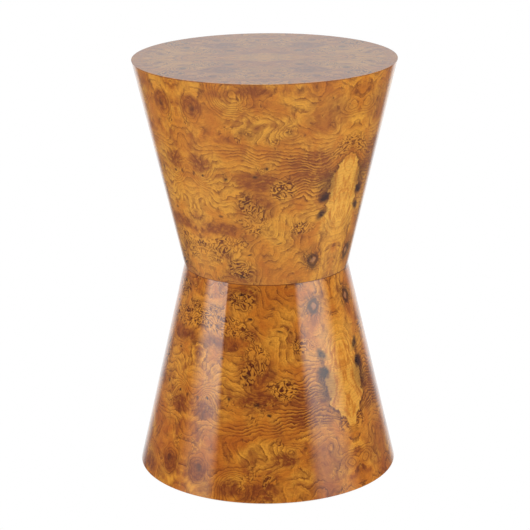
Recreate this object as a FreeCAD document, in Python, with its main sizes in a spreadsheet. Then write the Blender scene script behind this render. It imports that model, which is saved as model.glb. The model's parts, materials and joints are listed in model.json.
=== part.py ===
import FreeCAD
import Part
import Sketcher
import os

# Hourglass accent table, floor at Z 0, axis on Z, front towards -Y, in millimetres.
# Two conical drums stand end to end, bolted at the waist. Each drum is a frame of
# plywood ribs and fibreboard discs, wrapped in bending ply, then in hardboard, then in
# leaves of burl veneer. The table stands on four levelling glides under its base.

SIZES = (
    ("table_height", "610", "floor to the top face, glides screwed home"),
    ("top_diameter", "380", "upper arris, and the lower edge, because the drums are twins"),
    ("waist_diameter", "240", "seam between the drums"),
    ("foot_reveal", "3", "floor to the lower edge"),
    ("leaf_turn", "47", "angle from +X of the first upright veneer seam"),
    ("veneer_thickness", "0.6", "burl veneer"),
    ("hardboard_thickness", "3", "skin that the veneer is laid on"),
    ("bending_ply_thickness", "5", "inner skin"),
    ("top_panel_thickness", "18", "fibreboard disc under the top veneer"),
    ("ledger_thickness", "18", "ring that carries the top panel"),
    ("ledger_width", "35", "ring that carries the top panel"),
    ("waist_plate_thickness", "18", "disc that closes each drum at the waist"),
    ("waist_plate_bore", "50", "hand hole in each disc"),
    ("mid_ring_thickness", "12", "ring halfway up the ribs"),
    ("mid_ring_width", "45", "ring halfway up the ribs"),
    ("rib_count", "6", "ribs in each drum"),
    ("rib_thickness", "12", "rib"),
    ("rib_depth", "30", "rib, from the skin inwards"),
    ("fitting_gap", "0.1", "glue line or assembly gap between fitted wooden pieces"),
    ("base_ring_thickness", "30", "ring at the foot"),
    ("base_ring_width", "69", "ring at the foot"),
    ("cover_thickness", "3", "dust cover under the base"),
    ("cover_land", "14", "width of the rebate that the cover is screwed to"),
    ("cover_gap", "0.5", "gap round the cover in its rebate"),
    ("bolt_count", "3", "bolts through the waist"),
    ("bolt_diameter", "8", "waist bolt"),
    ("bolt_length", "40", "under the head"),
    ("bolt_head_flats", "13", "across flats"),
    ("bolt_head_height", "5.3", "waist bolt"),
    ("bolt_chamfer", "0.8", "end of a waist bolt"),
    ("bolt_hole_gap", "0.5", "between the bolt and the lower disc, on the radius"),
    ("washer_diameter", "16", "waist washer"),
    ("washer_thickness", "1.6", "waist washer"),
    ("tee_nut_wall", "1", "barrel wall and thread"),
    ("tee_nut_flange", "22", "flange diameter"),
    ("tee_nut_flange_thickness", "1.5", "flange"),
    ("tee_nut_barrel_length", "11", "barrel"),
    ("thread_gap", "0.075", "between a screw and what it turns in, on the radius"),
    ("dowel_count", "3", "dowels across the waist"),
    ("dowel_diameter", "10", "waist dowel"),
    ("dowel_length", "32", "waist dowel"),
    ("dowel_edge", "18", "dowel's centre to the inner skin"),
    ("ledger_screw_count", "6", "screws up into the top panel"),
    ("ledger_screw_diameter", "4", "shank"),
    ("ledger_screw_head", "8", "countersunk head"),
    ("ledger_screw_bite", "12", "how far the screw enters the top panel"),
    ("cover_screw_count", "6", "screws up into the base ring"),
    ("cover_screw_diameter", "3.5", "shank"),
    ("cover_screw_head", "7", "countersunk head"),
    ("cover_screw_bite", "11", "how far the screw enters the base ring"),
    ("recess_depth", "1.4", "cross recess in a screw head"),
    ("recess_width", "0.9", "cross recess in a screw head"),
    ("glide_turn", "45", "angle from +X of the first glide"),
    ("felt_diameter", "28", "felt disc"),
    ("felt_thickness", "2", "felt disc"),
    ("pad_diameter", "32", "nylon pad"),
    ("pad_floor", "1.2", "nylon under the stem's foot"),
    ("pad_lip", "1", "nylon over the stem's foot"),
    ("pad_chamfer", "1", "upper edge of the pad"),
    ("pocket_gap", "4", "round the pad in its pocket"),
    ("stem_diameter", "8", "threaded shank"),
    ("stem_length", "20", "threaded shank above the collar"),
    ("stem_chamfer", "1", "upper end of the shank"),
    ("stem_foot_diameter", "9", "disc held in the pad"),
    ("stem_foot_thickness", "2.4", "disc held in the pad"),
    ("stem_neck_diameter", "5", "between the foot and the collar"),
    ("collar_flats", "13", "hexagon collar, across flats"),
    ("collar_height", "4", "hexagon collar"),
    ("running_gap", "0.2", "round the stem's foot and over its collar"),
    ("insert_wall", "2", "barrel wall and thread"),
    ("insert_flange_width", "3", "flange beyond the barrel"),
    ("insert_flange_thickness", "1.5", "flange"),
    ("insert_land", "7", "wood over the insert"),
    ("stem_bore_gap", "0.5", "round the stem above its insert, on the radius"),
)

# Places worked out from the sizes. A rise is a height measured from the waist seam
# towards the open end of a drum, and a slope is the radius gained for each unit of rise.
PLACES = (
    ("drum_height", "(Sizes.table_height - Sizes.foot_reveal) / 2"),
    ("waist_level", "Sizes.foot_reveal + drum_height"),
    ("base_diameter", "Sizes.top_diameter"),
    ("upper_slope", "(Sizes.top_diameter - Sizes.waist_diameter) / 2 / drum_height"),
    ("lower_slope", "(base_diameter - Sizes.waist_diameter) / 2 / drum_height"),
    ("upper_stretch", "sqrt(1 + upper_slope * upper_slope)"),
    ("lower_stretch", "sqrt(1 + lower_slope * lower_slope)"),
    ("hardboard_depth", "Sizes.veneer_thickness"),
    ("bending_ply_depth", "hardboard_depth + Sizes.hardboard_thickness"),
    ("wall_depth", "bending_ply_depth + Sizes.bending_ply_thickness"),
    ("fitted_depth", "wall_depth + Sizes.fitting_gap"),
    ("upper_wall_rise", "drum_height - Sizes.veneer_thickness"),
    ("lower_wall_rise", "drum_height"),
    ("panel_rise", "upper_wall_rise - Sizes.top_panel_thickness"),
    ("upper_rib_rise", "panel_rise - Sizes.ledger_thickness"),
    ("lower_rib_rise", "drum_height - Sizes.base_ring_thickness"),
    ("upper_mid_rise", "(Sizes.waist_plate_thickness + upper_rib_rise - Sizes.mid_ring_thickness) / 2"),
    ("lower_mid_rise", "(Sizes.waist_plate_thickness + lower_rib_rise - Sizes.mid_ring_thickness) / 2"),
    ("wall_waist_radius", "Sizes.waist_diameter / 2 - wall_depth * upper_stretch"),
    ("bolt_radius", "(Sizes.waist_plate_bore / 2 + wall_waist_radius - Sizes.rib_depth) / 2"),
    ("dowel_radius", "wall_waist_radius - Sizes.dowel_edge"),
    ("ledger_radius", "wall_waist_radius + upper_slope * upper_rib_rise"),
    ("ledger_bore_radius", "ledger_radius - Sizes.ledger_width"),
    ("ledger_screw_radius", "ledger_radius - Sizes.ledger_width / 2"),
    ("base_ring_radius", "base_diameter / 2 - wall_depth * lower_stretch"),
    ("base_bore_radius", "base_ring_radius - Sizes.base_ring_width"),
    ("cover_radius", "base_bore_radius + Sizes.cover_land"),
    ("cover_screw_radius", "base_bore_radius + Sizes.cover_land / 2"),
    ("glide_radius", "(cover_radius + base_ring_radius) / 2"),
    ("pad_socket_level", "Sizes.felt_thickness + Sizes.pad_floor"),
    ("stem_foot_level", "pad_socket_level + Sizes.running_gap"),
    ("stem_foot_top", "stem_foot_level + Sizes.stem_foot_thickness"),
    ("pad_socket_top", "stem_foot_top + Sizes.running_gap"),
    ("pad_top", "pad_socket_top + Sizes.pad_lip"),
    ("collar_level", "pad_top + Sizes.running_gap"),
    ("collar_top", "collar_level + Sizes.collar_height"),
    ("flange_level", "collar_top + Sizes.running_gap"),
    ("pocket_level", "flange_level + Sizes.insert_flange_thickness"),
    ("base_ring_top", "Sizes.foot_reveal + Sizes.base_ring_thickness"),
    ("insert_top", "base_ring_top - Sizes.insert_land"),
    ("insert_radius", "Sizes.stem_diameter / 2 + Sizes.insert_wall"),
    ("cover_top", "Sizes.foot_reveal + Sizes.cover_thickness"),
    ("plate_underside", "waist_level - Sizes.waist_plate_thickness"),
    ("plate_top", "waist_level + Sizes.waist_plate_thickness"),
    ("washer_level", "plate_underside - Sizes.washer_thickness"),
    ("bolt_bore_radius", "Sizes.bolt_diameter / 2 + Sizes.thread_gap"),
    ("tee_nut_radius", "Sizes.bolt_diameter / 2 + Sizes.tee_nut_wall"),
    ("ledger_level", "waist_level + upper_rib_rise"),
)

FULL_TURN = 360
QUARTERS = ("back_right", "back_left", "front_left", "front_right")
SIDES = ("back", "left", "front", "right")
NEAR_ZERO = 1e-9
FIRST_BOLT_TURN = f"{FULL_TURN} / 2 / Sizes.rib_count"

doc = FreeCAD.newDocument("AccentTable")


def make_sizes():
    """Writes the driving dimensions into the spreadsheet, and the places that follow into the layout."""
    sheet = doc.addObject("Spreadsheet::Sheet", "Sizes")
    for row, (name, value, note) in enumerate(SIZES, start=1):
        sheet.set(f"A{row}", name)
        sheet.set(f"B{row}", value)
        sheet.setAlias(f"B{row}", name)
        sheet.set(f"C{row}", note)
    doc.recompute()
    layout = doc.addObject("App::VarSet", "Layout")
    for name, expression in PLACES:
        layout.addProperty("App::PropertyFloat", name, "Places")
        layout.setExpression(name, expression)
    doc.recompute()
    return sheet


def value_of(expression):
    """The number that an expression gives now."""
    return float(sizes.evalExpression(expression))


def share_of_turn(i, count):
    """The angle of the i-th of so many even steps round the axis."""
    return f"{i} * {FULL_TURN} / {count}"


# Sketches


def new_body(label, turn="0"):
    """A sub-part, turned about the table's axis by an expression in degrees."""
    body = doc.addObject("PartDesign::Body", label)
    body.Label = label
    up = FreeCAD.Vector(0, 0, 1)
    body.Placement = FreeCAD.Placement(FreeCAD.Vector(), FreeCAD.Rotation(up, value_of(turn)))
    if turn != "0":
        body.setExpression("Placement.Rotation.Angle", turn)
    return body


def origin_feature(body, role):
    """One of the body's own origin planes or axes."""
    return next(f for f in body.Origin.OriginFeatures if f.Role == role)


def new_sketch(body, name, role, level="0"):
    """A sketch on the body's own plane, lifted to a level."""
    sketch = body.newObject("Sketcher::SketchObject", name)
    sketch.AttachmentSupport = (origin_feature(body, role), [""])
    sketch.MapMode = "FlatFace"
    sketch.setExpression("AttachmentOffset.Base.z", level)
    return sketch


def tie(sketch, line, end, kind, expression):
    """Ties one coordinate of a line's end to an expression, measured from the sketch's origin."""
    value = value_of(expression)
    axis = -2 if kind == "DistanceX" else -1
    if abs(value) < NEAR_ZERO:
        sketch.addConstraint(Sketcher.Constraint("PointOnObject", line, end, axis))
    elif value > 0:
        made = sketch.addConstraint(Sketcher.Constraint(kind, -1, 1, line, end, value))
        sketch.setExpression(f"Constraints[{made}]", expression)
    else:
        made = sketch.addConstraint(Sketcher.Constraint(kind, line, end, -1, 1, -value))
        sketch.setExpression(f"Constraints[{made}]", f"-({expression})")


def add_outline(sketch, corners):
    """Draws a closed outline. Each corner is a pair of expressions, across and up."""
    points = [FreeCAD.Vector(value_of(across), value_of(up), 0) for across, up in corners]
    lines = []
    for i, start in enumerate(points):
        end = points[(i + 1) % len(points)]
        lines.append(sketch.addGeometry(Part.LineSegment(start, end), False))
    for i, line in enumerate(lines):
        after = lines[(i + 1) % len(lines)]
        sketch.addConstraint(Sketcher.Constraint("Coincident", line, 2, after, 1))
    for line, (across, up) in zip(lines, corners):
        tie(sketch, line, 1, "DistanceX", across)
        tie(sketch, line, 1, "DistanceY", up)


def add_circle(sketch, across, radius):
    """Draws a circle on the sketch's X axis, with its centre at across."""
    centre = FreeCAD.Vector(value_of(across), 0, 0)
    up = FreeCAD.Vector(0, 0, 1)
    circle = sketch.addGeometry(Part.Circle(centre, up, value_of(radius)), False)
    tie(sketch, circle, 3, "DistanceX", across)
    tie(sketch, circle, 3, "DistanceY", "0")
    made = sketch.addConstraint(Sketcher.Constraint("Radius", circle, value_of(radius)))
    sketch.setExpression(f"Constraints[{made}]", radius)


# Features


def turned(body, name, corners, angle=f"{FULL_TURN}"):
    """Turns an outline of (radius, level) corners about the table's axis."""
    sketch = new_sketch(body, f"{name}_profile", "XZ_Plane")
    add_outline(sketch, corners)
    feature = body.newObject("PartDesign::Revolution", name)
    feature.Profile = sketch
    feature.ReferenceAxis = (sketch, ["V_Axis"])
    feature.setExpression("Angle", angle)
    doc.recompute()
    return feature


def spun(body, name, centre, corners, cuts=False):
    """Turns an outline of (offset, level) corners about an upright axis that stands at centre."""
    sketch = new_sketch(body, f"{name}_profile", "XZ_Plane")
    add_outline(sketch, [(f"{centre} + {offset}", level) for offset, level in corners])
    foot = FreeCAD.Vector(value_of(centre), value_of(corners[0][1]), 0)
    head = FreeCAD.Vector(value_of(centre), value_of(corners[-1][1]), 0)
    axis = sketch.addGeometry(Part.LineSegment(foot, head), True)
    for end, level in ((1, corners[0][1]), (2, corners[-1][1])):
        tie(sketch, axis, end, "DistanceX", centre)
        tie(sketch, axis, end, "DistanceY", level)
    before = body.Shape.Volume if cuts else 0
    feature = body.newObject("PartDesign::Groove" if cuts else "PartDesign::Revolution", name)
    feature.Profile = sketch
    feature.ReferenceAxis = (sketch, ["Axis0"])
    feature.Angle = FULL_TURN
    doc.recompute()
    if cuts:
        must_have_cut(body, name, before)
    return feature


def raised(body, name, sketch, height, both_ways=False):
    """Pads a sketch by height, or by half of it each way."""
    feature = body.newObject("PartDesign::Pad", name)
    feature.Profile = sketch
    feature.setExpression("Length", height)
    feature.SideType = "Symmetric" if both_ways else "One side"
    doc.recompute()
    return feature


def sunk(body, name, sketch, depth):
    """Cuts a sketch upwards into the body by depth."""
    before = body.Shape.Volume
    feature = body.newObject("PartDesign::Pocket", name)
    feature.Profile = sketch
    feature.Reversed = True
    feature.setExpression("Length", depth)
    doc.recompute()
    must_have_cut(body, name, before)
    return feature


def must_have_cut(body, name, before):
    """Stops the build if a cut took nothing away."""
    if body.Shape.Volume >= before:
        raise RuntimeError(f"{name} cuts nothing from {body.Label}")


def round_hole(body, name, centre, radius, level, depth):
    """Cuts a round hole upwards from level, with its axis at centre."""
    sketch = new_sketch(body, f"{name}_sketch", "XY_Plane", level)
    add_circle(sketch, centre, radius)
    return sunk(body, name, sketch, depth)


def around(body, originals, count):
    """Repeats features evenly about the table's axis."""
    pattern = body.newObject("PartDesign::PolarPattern", f"{originals[0].Name}_ring")
    pattern.Originals = originals
    pattern.Axis = (origin_feature(body, "Z_Axis"), [""])
    pattern.Angle = FULL_TURN
    pattern.setExpression("Occurrences", count)
    body.Tip = pattern
    doc.recompute()


def hexagon(body, name, centre, flats, level, height):
    """A hexagonal prism on its own upright axis."""
    sketch = new_sketch(body, f"{name}_sketch", "XY_Plane", level)
    corner = f"{flats} / sqrt(3)"
    half_corner = f"{flats} / sqrt(3) / 2"
    half_flats = f"{flats} / 2"
    outline = [
        (f"{centre} + {corner}", "0"),
        (f"{centre} + {half_corner}", half_flats),
        (f"{centre} - {half_corner}", half_flats),
        (f"{centre} - {corner}", "0"),
        (f"{centre} - {half_corner}", f"-{half_flats}"),
        (f"{centre} + {half_corner}", f"-{half_flats}"),
    ]
    add_outline(sketch, outline)
    return raised(body, name, sketch, height)


# Drums


class Drum:
    """One conical half of the table, upper or lower, with places given by their rise from the waist."""

    def __init__(self, name, direction):
        """Keeps the drum's name, and the sign that turns a rise into a level."""
        self.name = name
        self.direction = direction
        self.wall_rise = f"Layout.{name}_wall_rise"
        self.rib_rise = f"Layout.{name}_rib_rise"
        self.mid_rise = f"Layout.{name}_mid_rise"
        self.mid_far_rise = f"({self.mid_rise} + Sizes.mid_ring_thickness)"

    def level(self, rise):
        """The level of a rise."""
        return f"(Layout.waist_level {self.direction} ({rise}))"

    def radius(self, rise, depth):
        """The radius at a rise, at a depth square to the veneered face."""
        slope = f"Layout.{self.name}_slope"
        stretch = f"Layout.{self.name}_stretch"
        return f"(Sizes.waist_diameter / 2 + {slope} * ({rise}) - ({depth}) * {stretch})"

    def corner(self, rise, depth):
        """A corner of a turned outline, on the cone at that depth."""
        return self.radius(rise, depth), self.level(rise)

    def layer(self, outer, inner):
        """The outline of one layer of the wall, between two depths."""
        return [
            self.corner("0", inner),
            self.corner("0", outer),
            self.corner(self.wall_rise, outer),
            self.corner(self.wall_rise, inner),
        ]

    def make_skins(self):
        """The bending ply and the hardboard round it."""
        hardboard = new_body(f"{self.name}_hardboard_skin")
        turned(hardboard, "wrap", self.layer("Layout.hardboard_depth", "Layout.bending_ply_depth"))
        ply = new_body(f"{self.name}_bending_ply")
        turned(ply, "wrap", self.layer("Layout.bending_ply_depth", "Layout.wall_depth"))

    def make_leaves(self):
        """The leaves of burl veneer, butted at upright seams."""
        for i, side in enumerate(SIDES):
            turn = f"Sizes.leaf_turn + {share_of_turn(i, len(SIDES))}"
            leaf = new_body(f"{self.name}_leaf_{side}", turn)
            turned(leaf, "veneer", self.layer("0", "Layout.hardboard_depth"), share_of_turn(1, len(SIDES)))

    def make_waist_plate(self, bolt_hole_radius):
        """The disc at the waist, with its hand hole, bolt holes and dowel holes."""
        plate = new_body(f"{self.name}_waist_plate", FIRST_BOLT_TURN)
        thickness = "Sizes.waist_plate_thickness"
        bore = "Sizes.waist_plate_bore / 2"
        outline = [
            (bore, self.level("0")),
            self.corner("0", "Layout.fitted_depth"),
            self.corner(thickness, "Layout.fitted_depth"),
            (bore, self.level(thickness)),
        ]
        turned(plate, "disc", outline)
        dowel_depth = "Sizes.dowel_length / 2"
        if self.direction == "+":
            plate_foot = self.level("0")
            dowel_foot = self.level("0")
        else:
            plate_foot = self.level(thickness)
            dowel_foot = self.level(dowel_depth)
        bolt_hole = round_hole(
            plate, "bolt_hole", "Layout.bolt_radius", bolt_hole_radius, plate_foot, thickness
        )
        around(plate, [bolt_hole], "Sizes.bolt_count")
        dowel_hole = round_hole(
            plate, "dowel_hole", "-Layout.dowel_radius", "Sizes.dowel_diameter / 2", dowel_foot, dowel_depth
        )
        around(plate, [dowel_hole], "Sizes.dowel_count")

    def rib_back_radius(self, rise):
        """The radius of a rib's flat back, whose two edges meet the inside of the wall."""
        half = "Sizes.rib_thickness / 2"
        return f"sqrt(pow({self.radius(rise, 'Layout.fitted_depth')}; 2) - pow({half}; 2))"

    def rib_front_radius(self, rise):
        """The radius of a rib's inner edge."""
        return f"({self.rib_back_radius(rise)} - Sizes.rib_depth)"

    def lap_radius(self):
        """Where a rib and the middle ring meet in their halved joint."""
        return f"({self.rib_back_radius(self.mid_rise)} - Sizes.rib_depth / 2)"

    def make_ribs(self):
        """The upright ribs, each notched on its inner edge for the middle ring."""
        near = "Sizes.waist_plate_thickness"
        far = self.rib_rise
        outline = [
            (self.rib_back_radius(near), self.level(near)),
            (self.rib_back_radius(far), self.level(far)),
            (self.rib_front_radius(far), self.level(far)),
            (self.rib_front_radius(self.mid_far_rise), self.level(self.mid_far_rise)),
            (self.lap_radius(), self.level(self.mid_far_rise)),
            (self.lap_radius(), self.level(self.mid_rise)),
            (self.rib_front_radius(self.mid_rise), self.level(self.mid_rise)),
            (self.rib_front_radius(near), self.level(near)),
        ]
        for i in range(int(value_of("Sizes.rib_count"))):
            rib = new_body(f"{self.name}_rib_{i + 1}", share_of_turn(i, "Sizes.rib_count"))
            sketch = new_sketch(rib, "side", "XZ_Plane")
            add_outline(sketch, outline)
            raised(rib, "board", sketch, "Sizes.rib_thickness", both_ways=True)

    def make_mid_ring(self):
        """The middle ring, slotted from its outer edge for the ribs."""
        ring = new_body(f"{self.name}_mid_ring")
        outer = self.radius(self.mid_rise, "Layout.fitted_depth")
        inner = f"({outer} - Sizes.mid_ring_width)"
        near = self.level(self.mid_rise)
        far = self.level(self.mid_far_rise)
        turned(ring, "hoop", [(inner, near), (outer, near), (outer, far), (inner, far)])
        foot = near if self.direction == "+" else far
        half = "(Sizes.rib_thickness / 2 + Sizes.fitting_gap)"
        past_edge = self.radius(self.mid_rise, "0")
        outline = [
            (self.lap_radius(), f"-{half}"),
            (past_edge, f"-{half}"),
            (past_edge, half),
            (self.lap_radius(), half),
        ]
        sketch = new_sketch(ring, "slot_sketch", "XY_Plane", foot)
        add_outline(sketch, outline)
        slot = sunk(ring, "slot", sketch, "Sizes.mid_ring_thickness")
        around(ring, [slot], "Sizes.rib_count")


# Countersunk screws


class ScrewSet:
    """A ring of countersunk screws that are driven upwards, and the holes that they go in."""

    def __init__(self, name, centre, level, clamped, turn):
        """Keeps where the first screw stands, what the screws clamp and the angle of their ring."""
        self.name = name
        self.centre = centre
        self.level = level
        self.turn = turn
        self.count = f"Sizes.{name}_count"
        self.head = f"Sizes.{name}_head"
        self.shank = f"Sizes.{name}_diameter"
        self.length = f"{clamped} + Sizes.{name}_bite"

    def outline(self, gap):
        """The half outline of a screw, or of its hole where the gap isn't nothing."""
        return [
            ("0", self.level),
            (f"({self.head} / 2 + {gap})", self.level),
            (f"({self.shank} / 2 + {gap})", f"({self.level} + ({self.head} - {self.shank}) / 2)"),
            (f"({self.shank} / 2 + {gap})", f"({self.level} + {self.length} - {self.shank})"),
            ("0", f"({self.level} + {self.length} + {gap})"),
        ]

    def make(self):
        """The screws, in one sub-part, each with a cross recess in its head."""
        body = new_body(f"{self.name}s", self.turn)
        shank = spun(body, "shank", self.centre, self.outline("0"))
        reach = f"{self.head} / 4"
        half = "Sizes.recess_width / 2"
        quadrant = ((reach, half), (half, half), (half, reach))
        corners = []
        for across, along, order in (("+", "", 1), ("-", "", -1), ("-", "-", 1), ("+", "-", -1)):
            for out, up in quadrant[::order]:
                corners.append((f"{self.centre} {across} {out}", f"{along}{up}"))
        sketch = new_sketch(body, "recess_sketch", "XY_Plane", self.level)
        add_outline(sketch, corners)
        recess = sunk(body, "recess", sketch, "Sizes.recess_depth")
        around(body, [shank, recess], self.count)

    def drill(self, body):
        """The holes for the screws in a piece that they pass through, which is turned as they are."""
        name = f"{self.name}_hole"
        hole = spun(body, name, self.centre, self.outline("Sizes.thread_gap"), cuts=True)
        around(body, [hole], self.count)


# Top


def make_top_panel(screws):
    """The fibreboard disc that fills the mouth of the upper drum."""
    panel = new_body("top_panel", screws.turn)
    outline = [
        ("0", upper.level("Layout.panel_rise")),
        upper.corner("Layout.panel_rise", "Layout.fitted_depth"),
        upper.corner("Layout.upper_wall_rise", "Layout.fitted_depth"),
        ("0", upper.level("Layout.upper_wall_rise")),
    ]
    turned(panel, "disc", outline)
    screws.drill(panel)


def make_top_ledger(screws):
    """The ring under the top panel."""
    ledger = new_body("top_ledger", screws.turn)
    outline = [
        ("Layout.ledger_bore_radius", upper.level("Layout.upper_rib_rise")),
        upper.corner("Layout.upper_rib_rise", "Layout.fitted_depth"),
        upper.corner("Layout.panel_rise", "Layout.fitted_depth"),
        ("Layout.ledger_bore_radius", upper.level("Layout.panel_rise")),
    ]
    turned(ledger, "hoop", outline)
    screws.drill(ledger)


def make_top_leaves():
    """The quarter leaves of burl on the top. They cover the edge of the wall's veneer."""
    outline = [
        ("0", upper.level("Layout.upper_wall_rise")),
        upper.corner("Layout.upper_wall_rise", "0"),
        upper.corner("Layout.drum_height", "0"),
        ("0", upper.level("Layout.drum_height")),
    ]
    for i, quarter in enumerate(QUARTERS):
        leaf = new_body(f"top_leaf_{quarter}", share_of_turn(i, len(QUARTERS)))
        turned(leaf, "veneer", outline, share_of_turn(1, len(QUARTERS)))


# Waist


def make_waist_bolts():
    """Hexagon bolts that pull the two discs together, driven from below."""
    body = new_body("waist_bolts", FIRST_BOLT_TURN)
    radius = "Sizes.bolt_diameter / 2"
    foot = "(Layout.washer_level - Sizes.bolt_head_height / 2)"
    end = "(Layout.washer_level + Sizes.bolt_length)"
    outline = [
        ("0", foot),
        (radius, foot),
        (radius, f"({end} - Sizes.bolt_chamfer)"),
        (f"({radius} - Sizes.bolt_chamfer)", end),
        ("0", end),
    ]
    shank = spun(body, "shank", "Layout.bolt_radius", outline)
    height = "Sizes.bolt_head_height"
    head_level = f"Layout.washer_level - {height}"
    head = hexagon(body, "head", "Layout.bolt_radius", "Sizes.bolt_head_flats", head_level, height)
    around(body, [shank, head], "Sizes.bolt_count")


def make_waist_washers():
    """Washers under the bolt heads."""
    body = new_body("waist_washers", FIRST_BOLT_TURN)
    outline = [
        ("Layout.bolt_bore_radius", "Layout.washer_level"),
        ("Sizes.washer_diameter / 2", "Layout.washer_level"),
        ("Sizes.washer_diameter / 2", "Layout.plate_underside"),
        ("Layout.bolt_bore_radius", "Layout.plate_underside"),
    ]
    washer = spun(body, "washer", "Layout.bolt_radius", outline)
    around(body, [washer], "Sizes.bolt_count")


def make_waist_tee_nuts():
    """Flanged nuts on the upper disc, their barrels sunk into it."""
    body = new_body("waist_tee_nuts", FIRST_BOLT_TURN)
    foot = "(Layout.plate_top - Sizes.tee_nut_barrel_length)"
    face = "(Layout.plate_top + Sizes.tee_nut_flange_thickness)"
    outline = [
        ("Layout.bolt_bore_radius", foot),
        ("Layout.tee_nut_radius", foot),
        ("Layout.tee_nut_radius", "Layout.plate_top"),
        ("Sizes.tee_nut_flange / 2", "Layout.plate_top"),
        ("Sizes.tee_nut_flange / 2", face),
        ("Layout.bolt_bore_radius", face),
    ]
    nut = spun(body, "nut", "Layout.bolt_radius", outline)
    around(body, [nut], "Sizes.bolt_count")


def make_waist_dowels():
    """Dowels that line the two drums up, half in each disc, opposite the bolts."""
    body = new_body("waist_dowels", f"{FIRST_BOLT_TURN} + {FULL_TURN} / 2")
    radius = "Sizes.dowel_diameter / 2"
    low = "(Layout.waist_level - Sizes.dowel_length / 2)"
    high = "(Layout.waist_level + Sizes.dowel_length / 2)"
    outline = [("0", low), (radius, low), (radius, high), ("0", high)]
    dowel = spun(body, "dowel", "Layout.dowel_radius", outline)
    around(body, [dowel], "Sizes.dowel_count")


# Base


def make_base_ring(screws):
    """The ring at the foot, with a rebate for the cover and a stepped pocket for each glide."""
    ring = new_body("base_ring", screws.turn)
    outline = [
        ("Layout.cover_radius", "Sizes.foot_reveal"),
        lower.corner("Layout.drum_height", "Layout.fitted_depth"),
        lower.corner("Layout.lower_rib_rise", "Layout.fitted_depth"),
        ("Layout.base_bore_radius", "Layout.base_ring_top"),
        ("Layout.base_bore_radius", "Layout.cover_top"),
        ("Layout.cover_radius", "Layout.cover_top"),
    ]
    turned(ring, "hoop", outline)
    screws.drill(ring)
    pad_pocket = "Sizes.pad_diameter / 2 + Sizes.pocket_gap"
    stem_bore = "Sizes.stem_diameter / 2 + Sizes.stem_bore_gap"
    steps = (
        ("pad_pocket", pad_pocket, "Sizes.foot_reveal", "Layout.pocket_level"),
        ("insert_hole", "Layout.insert_radius", "Layout.pocket_level", "Layout.insert_top"),
        ("stem_bore", stem_bore, "Layout.insert_top", "Layout.base_ring_top"),
    )
    holes = []
    for name, radius, low, high in steps:
        holes.append(round_hole(ring, name, "Layout.glide_radius", radius, low, f"{high} - {low}"))
    around(ring, holes, f"{len(QUARTERS)}")


def make_base_cover(screws):
    """The hardboard disc that closes the base."""
    cover = new_body("base_cover", screws.turn)
    radius = "(Layout.cover_radius - Sizes.cover_gap)"
    low = "Sizes.foot_reveal"
    high = "Layout.cover_top"
    turned(cover, "disc", [("0", low), (radius, low), (radius, high), ("0", high)])
    screws.drill(cover)


# Levelling glides


def make_glide_inserts():
    """Threaded inserts pressed into the base ring, one over each glide."""
    body = new_body("glide_inserts", "Sizes.glide_turn")
    inner = "(Sizes.stem_diameter / 2 + Sizes.thread_gap)"
    flange = "(Layout.insert_radius + Sizes.insert_flange_width)"
    outline = [
        (inner, "Layout.flange_level"),
        (flange, "Layout.flange_level"),
        (flange, "Layout.pocket_level"),
        ("Layout.insert_radius", "Layout.pocket_level"),
        ("Layout.insert_radius", "Layout.insert_top"),
        (inner, "Layout.insert_top"),
    ]
    insert = spun(body, "insert", "Layout.glide_radius", outline)
    around(body, [insert], f"{len(QUARTERS)}")


def make_glide_stem(quarter, turn):
    """A threaded stem, with a hexagon collar to turn it by and a foot that turns in the pad."""
    stem = new_body(f"glide_stem_{quarter}", turn)
    foot = "Sizes.stem_foot_diameter / 2"
    neck = "Sizes.stem_neck_diameter / 2"
    shank = "Sizes.stem_diameter / 2"
    end = "(Layout.collar_top + Sizes.stem_length)"
    in_collar = "(Layout.collar_level + Sizes.collar_height / 2)"
    outline = [
        ("0", "Layout.stem_foot_level"),
        (foot, "Layout.stem_foot_level"),
        (foot, "Layout.stem_foot_top"),
        (neck, "Layout.stem_foot_top"),
        (neck, in_collar),
        (shank, in_collar),
        (shank, f"({end} - Sizes.stem_chamfer)"),
        (f"({shank} - Sizes.stem_chamfer)", end),
        ("0", end),
    ]
    spun(stem, "stem", "Layout.glide_radius", outline)
    height = "Sizes.collar_height"
    hexagon(stem, "collar", "Layout.glide_radius", "Sizes.collar_flats", "Layout.collar_level", height)


def make_glide_pad(quarter, turn):
    """A nylon pad, with a socket that holds the stem's foot."""
    pad = new_body(f"glide_pad_{quarter}", turn)
    outer = "Sizes.pad_diameter / 2"
    socket = "(Sizes.stem_foot_diameter / 2 + Sizes.running_gap)"
    mouth = "(Sizes.stem_neck_diameter / 2 + Sizes.running_gap)"
    outline = [
        ("0", "Sizes.felt_thickness"),
        (outer, "Sizes.felt_thickness"),
        (outer, "(Layout.pad_top - Sizes.pad_chamfer)"),
        (f"({outer} - Sizes.pad_chamfer)", "Layout.pad_top"),
        (mouth, "Layout.pad_top"),
        (mouth, "Layout.pad_socket_top"),
        (socket, "Layout.pad_socket_top"),
        (socket, "Layout.pad_socket_level"),
        ("0", "Layout.pad_socket_level"),
    ]
    spun(pad, "pad", "Layout.glide_radius", outline)


def make_glide_felt(quarter, turn):
    """The felt disc under a pad, which stands on the floor."""
    felt = new_body(f"glide_felt_{quarter}", turn)
    radius = "Sizes.felt_diameter / 2"
    high = "Sizes.felt_thickness"
    spun(felt, "felt", "Layout.glide_radius", [("0", "0"), (radius, "0"), (radius, high), ("0", high)])


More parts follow.
